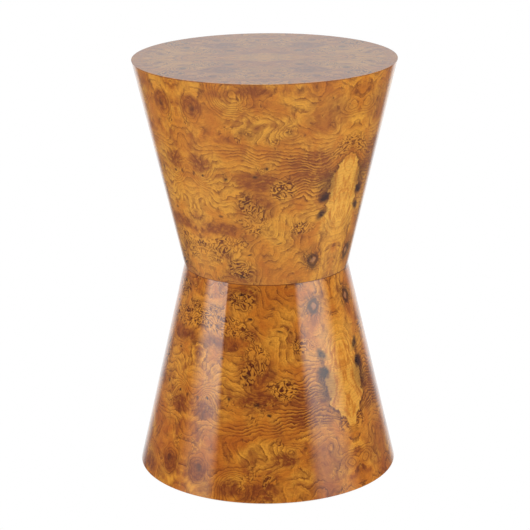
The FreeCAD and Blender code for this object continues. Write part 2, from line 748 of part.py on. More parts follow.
def write_parts():
    """Checks every object, then writes each sub-part to its own file."""
    doc.recompute()
    for obj in doc.Objects:
        if "Invalid" in obj.State or "Error" in obj.State:
            raise RuntimeError(f"{obj.Label} is {obj.State}")
    bodies = [obj for obj in doc.Objects if obj.TypeId == "PartDesign::Body"]
    for body in bodies:
        if body.Shape.isNull() or not body.Shape.isValid() or not body.Shape.Solids:
            raise RuntimeError(f"{body.Label} has no valid solid")
    os.makedirs("parts", exist_ok=True)
    for body in bodies:
        body.Shape.exportStep(f"parts/{body.Label}.step")
        print(f"{body.Label}: {len(body.Shape.Solids)} solids, {body.Shape.Volume:.0f} mm3")
    print(f"{len(bodies)} sub-parts")


sizes = make_sizes()
upper = Drum("upper", "+")
lower = Drum("lower", "-")
upper.make_waist_plate("Layout.tee_nut_radius")
lower.make_waist_plate("Sizes.bolt_diameter / 2 + Sizes.bolt_hole_gap")
for drum in (upper, lower):
    drum.make_ribs()
    drum.make_mid_ring()
    drum.make_skins()
    drum.make_leaves()
make_waist_bolts()
make_waist_washers()
make_waist_tee_nuts()
make_waist_dowels()

ledger_screws = ScrewSet(
    "ledger_screw",
    "Layout.ledger_screw_radius",
    "Layout.ledger_level",
    "Sizes.ledger_thickness",
    FIRST_BOLT_TURN,
)
ledger_screws.make()
make_top_ledger(ledger_screws)
make_top_panel(ledger_screws)
make_top_leaves()

cover_screws = ScrewSet(
    "cover_screw",
    "Layout.cover_screw_radius",
    "Sizes.foot_reveal",
    "Sizes.cover_thickness",
    "Sizes.glide_turn",
)
cover_screws.make()
make_base_ring(cover_screws)
make_base_cover(cover_screws)
make_glide_inserts()
for i, quarter in enumerate(QUARTERS):
    turn = f"Sizes.glide_turn + {share_of_turn(i, len(QUARTERS))}"
    make_glide_stem(quarter, turn)
    make_glide_pad(quarter, turn)
    make_glide_felt(quarter, turn)
write_parts()
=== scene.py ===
import json
import logging
import math
from dataclasses import dataclass, replace
from enum import Enum
from functools import cache
from typing import Any, Callable, Iterable, Optional, Union

import bmesh
import bpy
from mathutils import Matrix, Vector


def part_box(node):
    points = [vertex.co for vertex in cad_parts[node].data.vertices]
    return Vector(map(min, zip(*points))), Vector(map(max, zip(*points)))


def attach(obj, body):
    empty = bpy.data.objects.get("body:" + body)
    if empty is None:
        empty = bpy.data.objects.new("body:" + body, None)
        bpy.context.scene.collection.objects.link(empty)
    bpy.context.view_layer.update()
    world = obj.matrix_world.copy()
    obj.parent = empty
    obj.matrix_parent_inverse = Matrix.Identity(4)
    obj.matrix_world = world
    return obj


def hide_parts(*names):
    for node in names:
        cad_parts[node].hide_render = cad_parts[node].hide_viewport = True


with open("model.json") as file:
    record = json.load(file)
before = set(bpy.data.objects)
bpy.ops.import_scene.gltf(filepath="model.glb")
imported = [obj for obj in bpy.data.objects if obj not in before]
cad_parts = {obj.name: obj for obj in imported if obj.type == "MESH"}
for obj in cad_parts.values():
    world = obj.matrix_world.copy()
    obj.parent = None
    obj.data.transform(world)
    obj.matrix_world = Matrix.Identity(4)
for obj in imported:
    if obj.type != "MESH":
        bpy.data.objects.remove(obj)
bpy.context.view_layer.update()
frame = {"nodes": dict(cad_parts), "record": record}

# An hourglass accent table in book-matched burl veneer under clear lacquer. The veneer leaves and the
# glides are modelled here, and the boards and fasteners inside keep the frame's own shapes.

SHEET = "sheet"
MILLIMETRES = 1000.0
FULL_TURN = 360.0
SAME_LEVEL = 1e-5
SHARP_EDGE = math.radians(30.0)
UP = (0.0, 0.0, 1.0)
CENTRE = (0.0, 0.0, 0.0)
BLACK = (0.0, 0.0, 0.0)
GREY = (0.5, 0.5, 0.5)
WHITE = (1.0, 1.0, 1.0)

# A Mix node has a set of sockets for each kind of data, and these are the colours' own.
MIX_FIRST = 6
MIX_SECOND = 7
MIX_RESULT = 2

Socket = bpy.types.NodeSocket
Material = bpy.types.Material
Number = Union[float, "Channel"]


class Place(Enum):
    """One of four places round the table, counted in quarter turns."""

    @property
    def word(self) -> str:
        """The place's name, as the pieces use it."""
        return self.name.lower()

    @property
    def turn(self) -> float:
        """Its turn from the first of the four, in degrees."""
        return self.value * FULL_TURN / 4


class Side(Place):
    """The four sides of a drum, from the first seam on."""

    BACK = 0
    LEFT = 1
    FRONT = 2
    RIGHT = 3


class Quarter(Place):
    """The four quarters of the top and of the base, from +X on."""

    BACK_RIGHT = 0
    BACK_LEFT = 1
    FRONT_LEFT = 2
    FRONT_RIGHT = 3


# Shader maths


def operator(operation: str, flipped: bool = False) -> Callable[..., "Channel"]:
    """Makes the method of an operator between a channel and another number.

    Args:
        operation: what the Math node of the operator does.
        flipped: whether the other number comes first.

    Returns:
        The method.
    """

    def method(channel: "Channel", other: Number) -> "Channel":
        """Joins the two by a Math node."""
        return channel.recipe.maths(operation, *((other, channel) if flipped else (channel, other)))

    return method


class Channel:
    """A number that varies over a surface: an output socket that Python arithmetic extends.

    The operator | takes the greater of two numbers, which joins two masks.
    """

    def __init__(self, recipe: "Recipe", socket: Socket) -> None:
        """Keeps the socket and the recipe that it belongs to."""
        self.recipe = recipe
        self.socket = socket

    __add__ = __radd__ = operator("ADD")
    __sub__ = operator("SUBTRACT")
    __rsub__ = operator("SUBTRACT", flipped=True)
    __mul__ = __rmul__ = operator("MULTIPLY")
    __truediv__ = operator("DIVIDE")
    __pow__ = operator("POWER")
    __or__ = operator("MAXIMUM")
    __ror__ = operator("MAXIMUM", flipped=True)

    def __neg__(self) -> "Channel":
        """This with its sign changed."""
        return self * -1.0

    def fraction(self) -> "Channel":
        """The part after the decimal point."""
        return self.recipe.maths("FRACT", self)

    def size(self) -> "Channel":
        """This without its sign."""
        return self.recipe.maths("ABSOLUTE", self)

    def step(self, low: Number, high: Number, start: Number = 0.0, end: Number = 1.0) -> "Channel":
        """A smooth step.

        Args:
            low: where the step begins.
            high: where it ends.
            start: the value before it.
            end: the value after it.

        Returns:
            The stepped value.
        """
        sockets = {"Value": self, "From Min": low, "From Max": high, "To Min": start, "To Max": end}
        made = self.recipe.node("MapRange", {"interpolation_type": "SMOOTHSTEP"}, sockets)
        return Channel(self.recipe, made.outputs["Result"])


class Recipe:
    """The node tree of one material, of a lamp or of the world."""

    def __init__(self, owner: Any, output: str = "Material") -> None:
        """Starts an empty tree with an output.

        Args:
            owner: the lamp or the world that the tree belongs to, or the name of a new material.
            output: the kind of the output.
        """
        self.owner = bpy.data.materials.new(owner) if isinstance(owner, str) else owner
        self.owner.use_nodes = True
        self.tree = self.owner.node_tree
        self.tree.nodes.clear()
        self.output = self.tree.nodes.new(f"ShaderNodeOutput{output}")

    def node(
        self, kind: str, settings: Optional[dict] = None, sockets: Optional[dict] = None
    ) -> bpy.types.Node:
        """Adds a node.

        Args:
            kind: its type, without the first word that all shader nodes share.
            settings: its properties by name. The name stops holds the stops of a ramp.
            sockets: values or links for its inputs, by name or number.

        Returns:
            The node.
        """
        made = self.tree.nodes.new(f"ShaderNode{kind}")
        for name, value in (settings or {}).items():
            if name == "stops":
                self.set_stops(made.color_ramp, value)
            else:
                setattr(made, name, value)
        for key, value in (sockets or {}).items():
            if isinstance(value, Channel):
                value = value.socket
            if isinstance(value, Socket):
                self.tree.links.new(value, made.inputs[key])
            else:
                made.inputs[key].default_value = value
        return made

    @staticmethod
    def set_stops(ramp: bpy.types.ColorRamp, stops: Iterable[tuple]) -> None:
        """Gives a ramp its stops.

        Args:
            ramp: the ramp, which starts with two.
            stops: the place and the colour of each.
        """
        stops = tuple(stops)
        while len(ramp.elements) < len(stops):
            ramp.elements.new(1.0)
        for element, (place, colour) in zip(ramp.elements, stops):
            element.position = place
            element.color = (*colour, 1.0)

    def maths(self, operation: str, *terms: Number) -> Channel:
        """A Math node on one, two or three terms."""
        made = self.node("Math", {"operation": operation}, dict(enumerate(terms)))
        return Channel(self, made.outputs[0])

    def vector(self, operation: str, *terms: Any) -> Socket:
        """A Vector Math node.

        Args:
            operation: what it does.
            terms: its vectors, or a vector and a number for a scale.

        Returns:
            The vector, or the number where it measures one.
        """
        keys = (0, "Scale") if operation == "SCALE" else (0, 1)
        made = self.node("VectorMath", {"operation": operation}, dict(zip(keys, terms)))
        return made.outputs["Value" if operation in ("LENGTH", "DOT_PRODUCT") else "Vector"]

    def length(self, vector: Socket) -> Channel:
        """The length of a vector."""
        return Channel(self, self.vector("LENGTH", vector))

    def split(self, vector: Socket) -> tuple:
        """The three parts of a vector."""
        made = self.node("SeparateXYZ", None, {0: vector})
        return tuple(Channel(self, socket) for socket in made.outputs)

    def join(self, across: Number, along: Number, deep: Number) -> Socket:
        """A vector from its three parts."""
        return self.node("CombineXYZ", None, {0: across, 1: along, 2: deep}).outputs[0]

    def noise_node(self, place: Socket, scale: float, detail: float, rough: float) -> bpy.types.Node:
        """The node of a noise, which has a colour as well as a number."""
        sockets = {"Vector": place, "Scale": scale, "Detail": detail, "Roughness": rough}
        return self.node("TexNoise", None, sockets)

    def noise(self, place: Socket, scale: float, detail: float, rough: float) -> Channel:
        """Noise between 0 and 1 at a place, with so many features to a unit."""
        return Channel(self, self.noise_node(place, scale, detail, rough).outputs["Fac"])

    def grain(self, place: Socket, squeeze: tuple, scale: float, detail: float, rough: float) -> Channel:
        """Noise that is drawn out each way that its place is squeezed."""
        return self.noise(self.vector("MULTIPLY", place, squeeze), scale, detail, rough)

    def pushed(self, place: Socket, scale: float, reach: float, detail: float = 1.0) -> Socket:
        """A place pushed about by noise, by up to about half of reach each way."""
        push = self.vector("SUBTRACT", self.noise_node(place, scale, detail, 0.5).outputs["Color"], GREY)
        return self.vector("ADD", place, self.vector("SCALE", push, reach))

    def local(self, place: Socket, centre: tuple, reach: tuple, tilt: float) -> Socket:
        """A place on the flat sheet, measured from a centre.

        Args:
            place: the place.
            centre: where the centre lies on the sheet.
            reach: the lengths that count as 1, across and along.
            tilt: how far both are turned, in degrees.

        Returns:
            The place in shares of the reach.
        """
        return self.node("Mapping", {"vector_type": "TEXTURE"}, {
            "Vector": place,
            "Location": (*centre, 0.0),
            "Rotation": (0.0, 0.0, math.radians(tilt)),
            "Scale": (*reach, 1.0),
        }).outputs[0]

    def mix(self, share: Number, first: Any, second: Any) -> Socket:
        """A mix of two colours."""
        sockets = {0: share, MIX_FIRST: opaque(first), MIX_SECOND: opaque(second)}
        return self.node("Mix", {"data_type": "RGBA"}, sockets).outputs[MIX_RESULT]

    def layered(self, tint: Any, *layers: tuple) -> Socket:
        """Colours laid one over another.

        Args:
            tint: the lowest colour.
            layers: the share that each next colour covers, and the colour.

        Returns:
            The colour that shows.
        """
        for share, colour in layers:
            tint = self.mix(share, tint, colour)
        return tint

    def ramp(self, value: Channel, stops: Iterable[tuple]) -> Socket:
        """A colour picked from stops by a value."""
        return self.node("ValToRGB", {"stops": stops}, {0: value}).outputs["Color"]

    def object_place(self) -> Socket:
        """The place on the object, in millimetres."""
        return self.vector("SCALE", self.node("TexCoord").outputs["Object"], MILLIMETRES)

    def sheet_place(self) -> Socket:
        """The place on the flat veneer sheet, in millimetres."""
        made = self.node("Attribute", {"attribute_name": SHEET})
        return self.vector("SCALE", made.outputs["Vector"], MILLIMETRES)

    def bump(self, height: Channel, distance: float) -> Socket:
        """A normal bumped by a height, over a distance in metres."""
        return self.node("Bump", None, {"Height": height, "Distance": distance}).outputs["Normal"]

    def end(self, shader: bpy.types.Node) -> None:
        """Ends the tree in a shader."""
        self.tree.links.new(shader.outputs[0], self.output.inputs["Surface"])

    def finish(self, sockets: dict) -> Material:
        """Ends the material in one Principled shader with these inputs."""
        self.end(self.node("BsdfPrincipled", None, sockets))
        return self.owner


def opaque(value: Any) -> Any:
    """A colour with its fourth part, or a link as it is."""
    return (*value, 1.0) if isinstance(value, tuple) else value


# Veneer


@dataclass(frozen=True)
class ConeSheet:
    """The flat veneer sheet that wraps one quarter of a cone, in millimetres from the waist's middle."""

    waist_slant: float
    rim_slant: float
    spread: float

    def flat(self, turn: float, rise: float) -> tuple:
        """A place on the flat sheet.

        Args:
            turn: degrees from the middle of the leaf.
            rise: share of the way from the waist to the rim.

        Returns:
            How far across and along the sheet the place is.
        """
        slant = self.waist_slant + rise * (self.rim_slant - self.waist_slant)
        angle = math.radians(turn) * self.spread
        return slant * math.sin(angle), slant * math.cos(angle) - self.waist_slant


@dataclass(frozen=True)
class Mark:
    """An oval part of the sheet that has a figure of its own.

    turn and rise place its middle, as ConeSheet.flat says, or across and along a flat leaf. wide and
    tall are its half sizes in millimetres, lean tilts it in degrees, lines is how many growth lines it
    adds, and dark is how dark its middle is.
    """

    turn: float
    rise: float
    wide: float
    tall: float
    lean: float = 0.0
    lines: float = 0.0
    dark: float = 0.0


def marks(*rows: tuple) -> tuple:
    """A mark from each row of its values."""
    return tuple(Mark(*row) for row in rows)


@dataclass(frozen=True)
class Sapwood:
    """The pale tongue of sapwood at a seam, in millimetres along the seam from the waist.

    It fades in from foot to full and narrows from narrowing to its tip. lobe and frill are how far its
    edge wanders, in broad and in fine waves, and rim is the width of the dark crinkles beside it.
    """

    seam_turn: float = 45.0
    foot: float = 50.0
    full: float = 112.0
    narrowing: float = 146.0
    tip: float = 199.0
    wide: float = 29.0
    edge: float = 1.4
    soft_edge: float = 14.0
    lobe: float = 32.0
    frill: float = 7.0
    rim: float = 13.0


@dataclass(frozen=True)
class BurlVeneer:
    """Book-matched burl under high-gloss clear lacquer."""

    name: str
    depth: float
    eyes: tuple
    crinkles: tuple
    grains: tuple
    clouds: tuple
    lights: tuple = ()
    stripes: tuple = ()
    smudges: tuple = ()
    knots: tuple = ()
    seams: tuple = ()
    sapwood: Optional[Sapwood] = None

    gold: tuple = (0.68, 0.305, 0.032)
    honey: tuple = (0.56, 0.202, 0.018)
    amber: tuple = (0.46, 0.138, 0.013)
    russet: tuple = (0.28, 0.074, 0.013)
    umber: tuple = (0.096, 0.019, 0.005)
    bark: tuple = (0.034, 0.011, 0.008)
    pale: tuple = (0.76, 0.385, 0.053)
    ash: tuple = (0.27, 0.145, 0.080)
    # The tint and the gamma below are painted light and shade: each copy of this one veneer is made paler,
    # darker or bluer for how the light falls on the upper drum, the lower drum or the top.
    stain: tuple = (1.0, 1.0, 1.0)
    richness: float = 1.0
    wood_shine: float = 0.05
    lacquer_rough: float = 0.035
    lacquer_bend: float = 1.5
    relief: float = 0.00004

    def build(self, sheet: Optional[ConeSheet]) -> Material:
        """Makes the material for leaves that follow a cone's sheet, or for flat ones."""
        return Burl(self, sheet).finish()


@dataclass(frozen=True)
class Growth:
    """The growth lines of a figure.

    ring rises from 0 to 1 between two lines. line and fine are the masks of the broad and the fine
    lines, bold and strength say where each kind is strong, and shade darkens the hearts of the eyes.
    """

    ring: Channel
    line: Channel
    fine: Channel
    bold: Channel
    strength: Channel
    shade: Number


class Burl:
    """The figure of a veneer as it is drawn on one flat sheet, layer over layer."""

    ringed_from: float = 2.0

    def __init__(self, veneer: BurlVeneer, sheet: Optional[ConeSheet]) -> None:
        """Starts the material and finds the places that the figure is drawn at.

        bent and wavy are the place on the sheet pushed about for the lines, in broad and in fine waves,
        and near is the place pushed about much less, for the marks. ragged breaks up some of the marks.

        Args:
            veneer: what is drawn.
            sheet: the cone's sheet, or None on a flat leaf.
        """
        self.veneer = veneer
        self.sheet = sheet
        self.recipe = Recipe(veneer.name)
        deep = self.recipe.vector("ADD", self.recipe.sheet_place(), (0.0, 0.0, veneer.depth))
        self.bent = self.recipe.pushed(deep, 1 / 60, 34.0)
        self.wavy = self.recipe.pushed(self.bent, 1 / 18, 8.0, 2.0)
        rough = self.recipe.pushed(self.recipe.pushed(deep, 1 / 24, 9.0), 1 / 7, 6.0, 3.0)
        self.near = self.recipe.vector("MULTIPLY", rough, (1.0, 1.0, 0.0))
        self.ragged = self.recipe.noise(self.wavy, 1 / 8, 3.0, 0.65).step(0.30, 0.62, 0.25, 1.0)
        self.grown = self.growth()

    def oval(self, mark: Mark) -> Socket:
        """The place measured in shares of a mark's half sizes from its middle."""
        centre = self.sheet.flat(mark.turn, mark.rise) if self.sheet else (mark.turn, mark.rise)
        return self.recipe.local(self.near, centre, (mark.wide, mark.tall), mark.lean)

    def field(self, places: tuple, core: float = 0.45) -> Number:
        """A mask that is 1, or the mark's dark, in each mark's core and 0 outside them all.

        Args:
            places: the marks.
            core: the share of each mark that is its core.

        Returns:
            The mask.
        """
        total: Number = 0.0
        for mark in places:
            total = total | self.recipe.length(self.oval(mark)).step(1.0, core, 0.0, mark.dark or 1.0)
        return total

    def growth(self) -> Growth:
        """Runs the growth lines over the sheet, in rings round the eyes and in bands along the grains.

        Returns:
            The lines.
        """
        recipe = self.recipe
        height = recipe.noise(self.wavy, 1 / 58, 1.0, 0.5) * 8.0 + recipe.split(self.wavy)[1] * 0.035
        height = height + recipe.noise(self.wavy, 1 / 6, 2.0, 0.6) * 0.7
        shade: Number = 0.0
        ringed: Number = 0.0
        for eye in self.veneer.eyes:
            away = recipe.length(self.oval(eye))
            height = height + away.step(1.0, 0.0, 0.0, eye.lines)
            if eye.lines >= self.ringed_from:
                ringed = ringed | away.step(1.0, 0.75, 0.0, 0.75)
            if eye.dark > 0.0:
                shade = shade | away.step(0.36, 0.06, 0.0, eye.dark)
        strength = recipe.noise(self.bent, 1 / 24, 3.0, 0.65)
        bold = strength.step(0.40, 0.60) | ringed
        for grain in self.veneer.grains:
            spot = self.oval(grain)
            across, along, _ = recipe.split(spot)
            height = height + (along.step(-1.0, 1.0) - 0.5) * across.step(-1.0, 0.2, 0.4, 1.0) * grain.lines
            bold = bold | recipe.length(spot).step(1.0, 0.3, 0.0, grain.dark)
        ring = height.fraction()
        line = ring ** 6.0 * ring.step(1.0, 0.90)
        finer = (height * 3.0 + recipe.noise(self.wavy, 1 / 9, 3.0, 0.6) * 1.6).fraction()
        fine = finer ** 2.5 * finer.step(1.0, 0.80)
        return Growth(ring, line, fine, bold, strength, shade)

    def cloud_layers(self) -> list:
        """The brown clouds, scattered ones and the marked ones, which on the lower drum include painted
        shade near its foot.

        Returns:
            The layers.
        """
        cloud = self.recipe.noise(self.wavy, 1 / 26, 3.0, 0.6).step(0.48, 0.70) * 0.8
        marked = self.field(self.veneer.clouds) * self.ragged
        return [(cloud | marked, self.veneer.russet), (marked * 0.22, self.veneer.umber)]

    def line_layers(self) -> list:
        """The growth lines with their soft sides, and the bold stripes.

        Returns:
            The layers.
        """
        grown, veneer = self.grown, self.veneer
        patchy = self.recipe.noise(self.wavy, 1 / 15, 3.0, 0.65).step(0.34, 0.60, 0.15, 1.0)
        striped = self.field(veneer.stripes) * patchy
        return [
            (grown.ring ** 1.5 * (grown.bold * 0.42 + 0.08), veneer.russet),
            (grown.fine * (grown.strength - 0.10), veneer.umber),
            (grown.line * (grown.bold * 0.84 + 0.34), veneer.umber),
            (grown.ring.step(0.50, 0.20) * striped * 0.5, veneer.gold),
            (grown.ring.step(0.45, 0.90) * striped * 0.6, veneer.umber),
        ]

    def crinkle_layers(self) -> list:
        """The crinkled parts, and the tongue of sapwood with its crinkled rim.

        Returns:
            The layers.
        """
        recipe, veneer = self.recipe, self.veneer
        crinkled = self.field(veneer.crinkles, 0.62)
        sapwood = []
        if veneer.sapwood:
            tongue, rim = self.sapwood_masks(veneer.sapwood)
            crinkled = crinkled | rim
            sapwood = [(rim * self.ragged * 0.85, veneer.umber), (tongue * 0.85, self.sapwood_tint())]
        crinkled = crinkled | recipe.noise(self.bent, 1 / 28, 3.0, 0.6).step(0.58, 0.66) * 0.8
        curls_at = recipe.pushed(recipe.pushed(self.wavy, 1 / 10, 8.0), 1 / 4, 3.0)
        curls = (recipe.noise(curls_at, 1 / 16, 2.0, 0.55) * 8.5).fraction()
        curl_line = (curls - 0.5).size().step(0.36, 0.06) * self.grown.bold.step(0.0, 1.0, 0.55, 1.0)
        return [
            ((1.0 - curl_line) * crinkled * 0.5, veneer.gold),
            (curl_line * crinkled * 0.93, veneer.umber),
            *sapwood,
        ]

    def sapwood_masks(self, wood: Sapwood) -> tuple:
        """Where the pale tongue is, and how near its dark rim is.

        Args:
            wood: the sizes of the tongue.

        Returns:
            The tongue's mask and its rim's.
        """
        recipe, near = self.recipe, self.near
        seam = self.sheet.flat(wood.seam_turn, 0.0)
        from_seam = recipe.local(near, seam, (1.0, 1.0), -wood.seam_turn * self.sheet.spread)
        inward, along, _ = recipe.split(from_seam)
        width = along.step(wood.tip, wood.narrowing) ** 0.5 * wood.wide
        lobes = (recipe.noise(near, 1 / 18, 2.0, 0.6) - 0.5) * wood.lobe
        inside = width + inward + lobes + (recipe.noise(near, 1 / 6, 3.0, 0.6) - 0.5) * wood.frill
        soft = along.step(wood.full + 12.0, wood.full - 30.0, wood.edge, wood.soft_edge)
        ends = along.step(wood.foot, wood.full) * along.step(wood.tip + 4.0, wood.tip - 6.0)
        tongue = inside.step(-soft, soft) * ends
        rim = inside.step(-wood.rim, -1.0) * inside.step(2.0, 0.0)
        rim = rim * along.step(wood.full - 20.0, wood.full + 14.0)
        return tongue, rim * along.step(wood.tip + 16.0, wood.tip - 20.0)

    def sapwood_tint(self) -> Socket:
        """The pale wood with its streaks and lines.

        Returns:
            The colour.
        """
        streaks = self.recipe.grain(self.wavy, (1.0, 0.25, 1.0), 1 / 7, 3.0, 0.65)
        return self.recipe.layered(
            self.veneer.pale,
            (streaks.step(0.44, 0.60) * 0.8, self.veneer.honey),
            (streaks.step(0.58, 0.74) * 0.6, self.veneer.russet),
            (self.grown.fine * 0.35 + self.grown.line * 0.4, self.veneer.umber),
        )

    def knot_layers(self) -> list:
        """The ringed knots, each with a pale heart and dark streaks that radiate from its rim.

        Returns:
            The layers of the hearts, and of the rims with their streaks.
        """
        recipe = self.recipe
        heart: Number = 0.0
        rim: Number = 0.0
        for knot in self.veneer.knots:
            spot = self.oval(knot)
            away = recipe.length(spot)
            across, along, _ = recipe.split(spot)
            turn = recipe.maths("ARCTAN2", along, across)
            spokes = recipe.noise(recipe.join(turn * 5.0, away * 0.7, knot.turn), 1.0, 1.0, 0.5)
            streaks = spokes.step(0.42, 0.58) * away.step(2.6, 0.7) * away.step(0.45, 0.7)
            ring = away.step(0.30, 0.60) * away.step(1.25, 0.72)
            rim = rim | (ring | streaks * 0.8) * knot.dark
            heart = heart | away.step(0.60, 0.25)
        return [(heart * 0.6, self.veneer.ash), (rim * 0.9, self.veneer.bark)] if self.veneer.knots else []

    def seam_layers(self) -> list:
        """The dark hairlines where the veneer meets another one, in millimetres over the floor."""
        level = self.recipe.split(self.recipe.object_place())[2]
        return [((level - s).size().step(1.1, 0.2) * 0.7, self.veneer.umber) for s in self.veneer.seams]

    def finish(self) -> Material:
        """Draws the whole figure and lacquers it.

        Returns:
            The material.
        """
        recipe, veneer, grown = self.recipe, self.veneer, self.grown
        tone = recipe.noise(self.bent, 1 / 50, 3.0, 0.6) + self.field(veneer.lights) * 0.14
        fibres = recipe.grain(self.wavy, (0.16, 0.8, 1.0), 0.8, 3.0, 0.65)
        smudge = self.field(veneer.smudges, 0.3) * (1.3 - self.ragged * 0.35 - fibres * 0.3)
        pores = recipe.grain(self.wavy, (1.0, 2.2, 1.0), 1 / 1.3, 1.0, 0.5).step(0.56, 0.76)
        tint = recipe.layered(
            recipe.ramp(tone, ((0.36, veneer.amber), (0.48, veneer.honey), (0.62, veneer.gold))),
            (fibres.step(0.40, 0.30) * 0.4, veneer.gold),
            (fibres.step(0.50, 0.75) * 0.35, veneer.umber),
            *self.cloud_layers(),
            *self.line_layers(),
            *self.crinkle_layers(),
            *self.knot_layers(),
            (grown.shade | smudge, veneer.bark),
            *self.seam_layers(),
            (pores * 0.22, veneer.umber),
        )
        # Painted shade and light: the gamma darkens a copy and the multiply tints it for how the light falls
        # on its part of the table.
        gamma_shaded_tint = recipe.node("Gamma", None, {"Color": tint, "Gamma": veneer.richness}).outputs[0]
        return recipe.finish({
            "Base Color": recipe.vector("MULTIPLY", gamma_shaded_tint, veneer.stain),
            "Roughness": 0.30 + grown.fine * 0.10,
            "Specular IOR Level": veneer.wood_shine,
            "Coat Weight": 1.0,
            "Coat Roughness": veneer.lacquer_rough,
            "Coat IOR": veneer.lacquer_bend,
            "Normal": recipe.bump((1.0 - grown.line) * 0.7 - pores * 0.3, veneer.relief),
        })


CONE_BURL = BurlVeneer(
    "upper_burl", 0.0,
    eyes=marks(
        (-35, 0.56, 24, 34, 0, 3.2), (-35, 0.545, 9, 9, 0, 0.6, 0.95), (-41, 0.55, 8, 11, 0, 0.6, 0.7),
        (-22, 0.53, 12, 11, 0, 1, 0.85), (-36, 0.87, 20, 26, 0, 3, 0.5), (-16, 0.94, 44, 42, 0, 6),
        (-7, 0.55, 20, 14, 0, 1.6, 0.8), (-1, 0.595, 14, 9, 0, 1, 0.9), (9, 0.76, 24, 16, 0, 3.2, 0.1),
        (16, 0.75, 8, 9, 0, 1.4, 0.5), (-13, 0.42, 24, 22, 0, 3, 0.3),
        (-18, 0.045, 22, 10, 0, 2.6, 0.8), (-12, 0.16, 14, 7, 0, 1, 0.9), (29, 0.11, 20, 20, 0, 2.4),
        (28, 0.91, 4, 9, 0, 0.8, 0.7), (-4, 0.9, 5, 14, 0, 1.2, 0.5), (40, 0.86, 26, 20, 0, 2.4),
        (-28, 0.35, 13, 11, 0, 1, 0.7), (6, 0.22, 16, 6, 20, 0.8, 0.7), (10, 0.54, 7, 6, 0, 1, 0.5),
    ),
    crinkles=marks(
        (-13, 0.42, 14, 16), (-8, 0.34, 22, 30), (-26, 0.2, 40, 18, 12), (7, 0.48, 22, 20),
        (20, 0.29, 24, 13), (39, 0.67, 28, 17, 25), (-18, 0.08, 26, 18), (-38, 0.17, 26, 22),
    ),
    grains=marks((16, 0.54, 90, 56, 0, 15, 1), (-12, 0.67, 100, 20, 0, 3, 0.5)),
    clouds=marks(
        (22, 0.62, 56, 22), (22, 0.54, 52, 22), (31, 0.44, 20, 18), (-6, 0.53, 44, 22),
        (-8, 0.4, 36, 34), (-36, 0.6, 26, 18), (-30, 0.28, 44, 14, 10), (-18, 0.06, 34, 24),
        (-36, 0.88, 24, 22), (-7, 0.97, 36, 12), (28, 0.84, 50, 42, 0, 0, 0.5),
    ),
    lights=marks(
        (-42, 0.42, 44, 38), (8, 0.3, 40, 34), (26, 0.34, 34, 12, -15), (40, 0.26, 46, 26),
        (-2, 0.78, 60, 30), (-24, 0.5, 30, 16), (38, 0.16, 18, 44),
    ),
    stripes=marks((19, 0.48, 42, 26, -10), (17, 0.62, 60, 22), (-8, 0.665, 60, 12, 0, 0, 0.6)),
    smudges=marks(
        (31, 0.43, 17, 12, 12, 0, 1), (32, 0.49, 24, 34, 0, 0, 0.45), (31, 0.345, 15, 9, 32, 0, 1),
    ),
    knots=marks((29, 0.11, 9, 12, 0, 0, 0.9)),
    sapwood=Sapwood(),
)
# Painted shade: brown clouds near the foot of the lower drum only, which darken it towards the floor.
FOOT_SHADE_CLOUDS = marks(
    (-20, 0.94, 26, 16), (-5, 0.95, 34, 20), (6, 0.8, 26, 14), (24, 0.95, 40, 14, 0, 0, 0.4),
)
TOP_BURL = BurlVeneer(
    "top_burl", 420.0,
    eyes=marks(
        (49, 51, 34, 30, 0, 4, 0.6), (114, 76, 30, 34, 0, 4, 0.6), (70, 133, 28, 26, 0, 3, 0.5),
        (14, 96, 22, 20, 0, 3, 0.3), (150, 30, 24, 20, 0, 3, 0.4), (96, 20, 16, 14, 0, 2, 0.4),
    ),
    crinkles=marks((30, 130, 30, 24), (84, 48, 26, 20), (130, 110, 26, 24)),
    grains=marks((20, 20, 40, 30, 0, 3, 0.5)),
    clouds=marks((60, 90, 40, 30)),
    # Painted light: the top's copy of the veneer is tinted paler for the pale sheen of the room that lies on
    # it.
    stain=(1.26, 1.20, 1.18),
)


# Other finishes


@dataclass(frozen=True)
class Fibreboard:
    """Sanded fibreboard, felted from fine fibres with a few dark flecks."""

    light: tuple = (0.47, 0.335, 0.215)
    mid: tuple = (0.39, 0.265, 0.160)
    dark: tuple = (0.21, 0.130, 0.072)
    relief: float = 0.00012

    def build(self) -> Material:
        """Makes the material.

        Returns:
            The material.
        """
        recipe = Recipe("fibreboard")
        place = recipe.object_place()
        blotch = recipe.noise(place, 1 / 28, 3.0, 0.6)
        fibre = recipe.grain(recipe.pushed(place, 1 / 6, 3.0), (1.0, 0.35, 1.0), 1.4, 3.0, 0.7)
        fleck = recipe.noise(place, 1 / 2.4, 2.0, 0.6).step(0.64, 0.72)
        tint = recipe.layered(
            self.mid,
            (blotch.step(0.35, 0.65), self.light),
            (fibre.step(0.45, 0.70) * 0.5, self.dark),
            (fleck * 0.7, self.dark),
        )
        return recipe.finish({
            "Base Color": tint,
            "Roughness": 0.70 + blotch * 0.15 + fibre * 0.08,
            "Specular IOR Level": 0.35,
            "Sheen Weight": 0.12,
            "Normal": recipe.bump(fibre - fleck * 0.6, self.relief),
        })


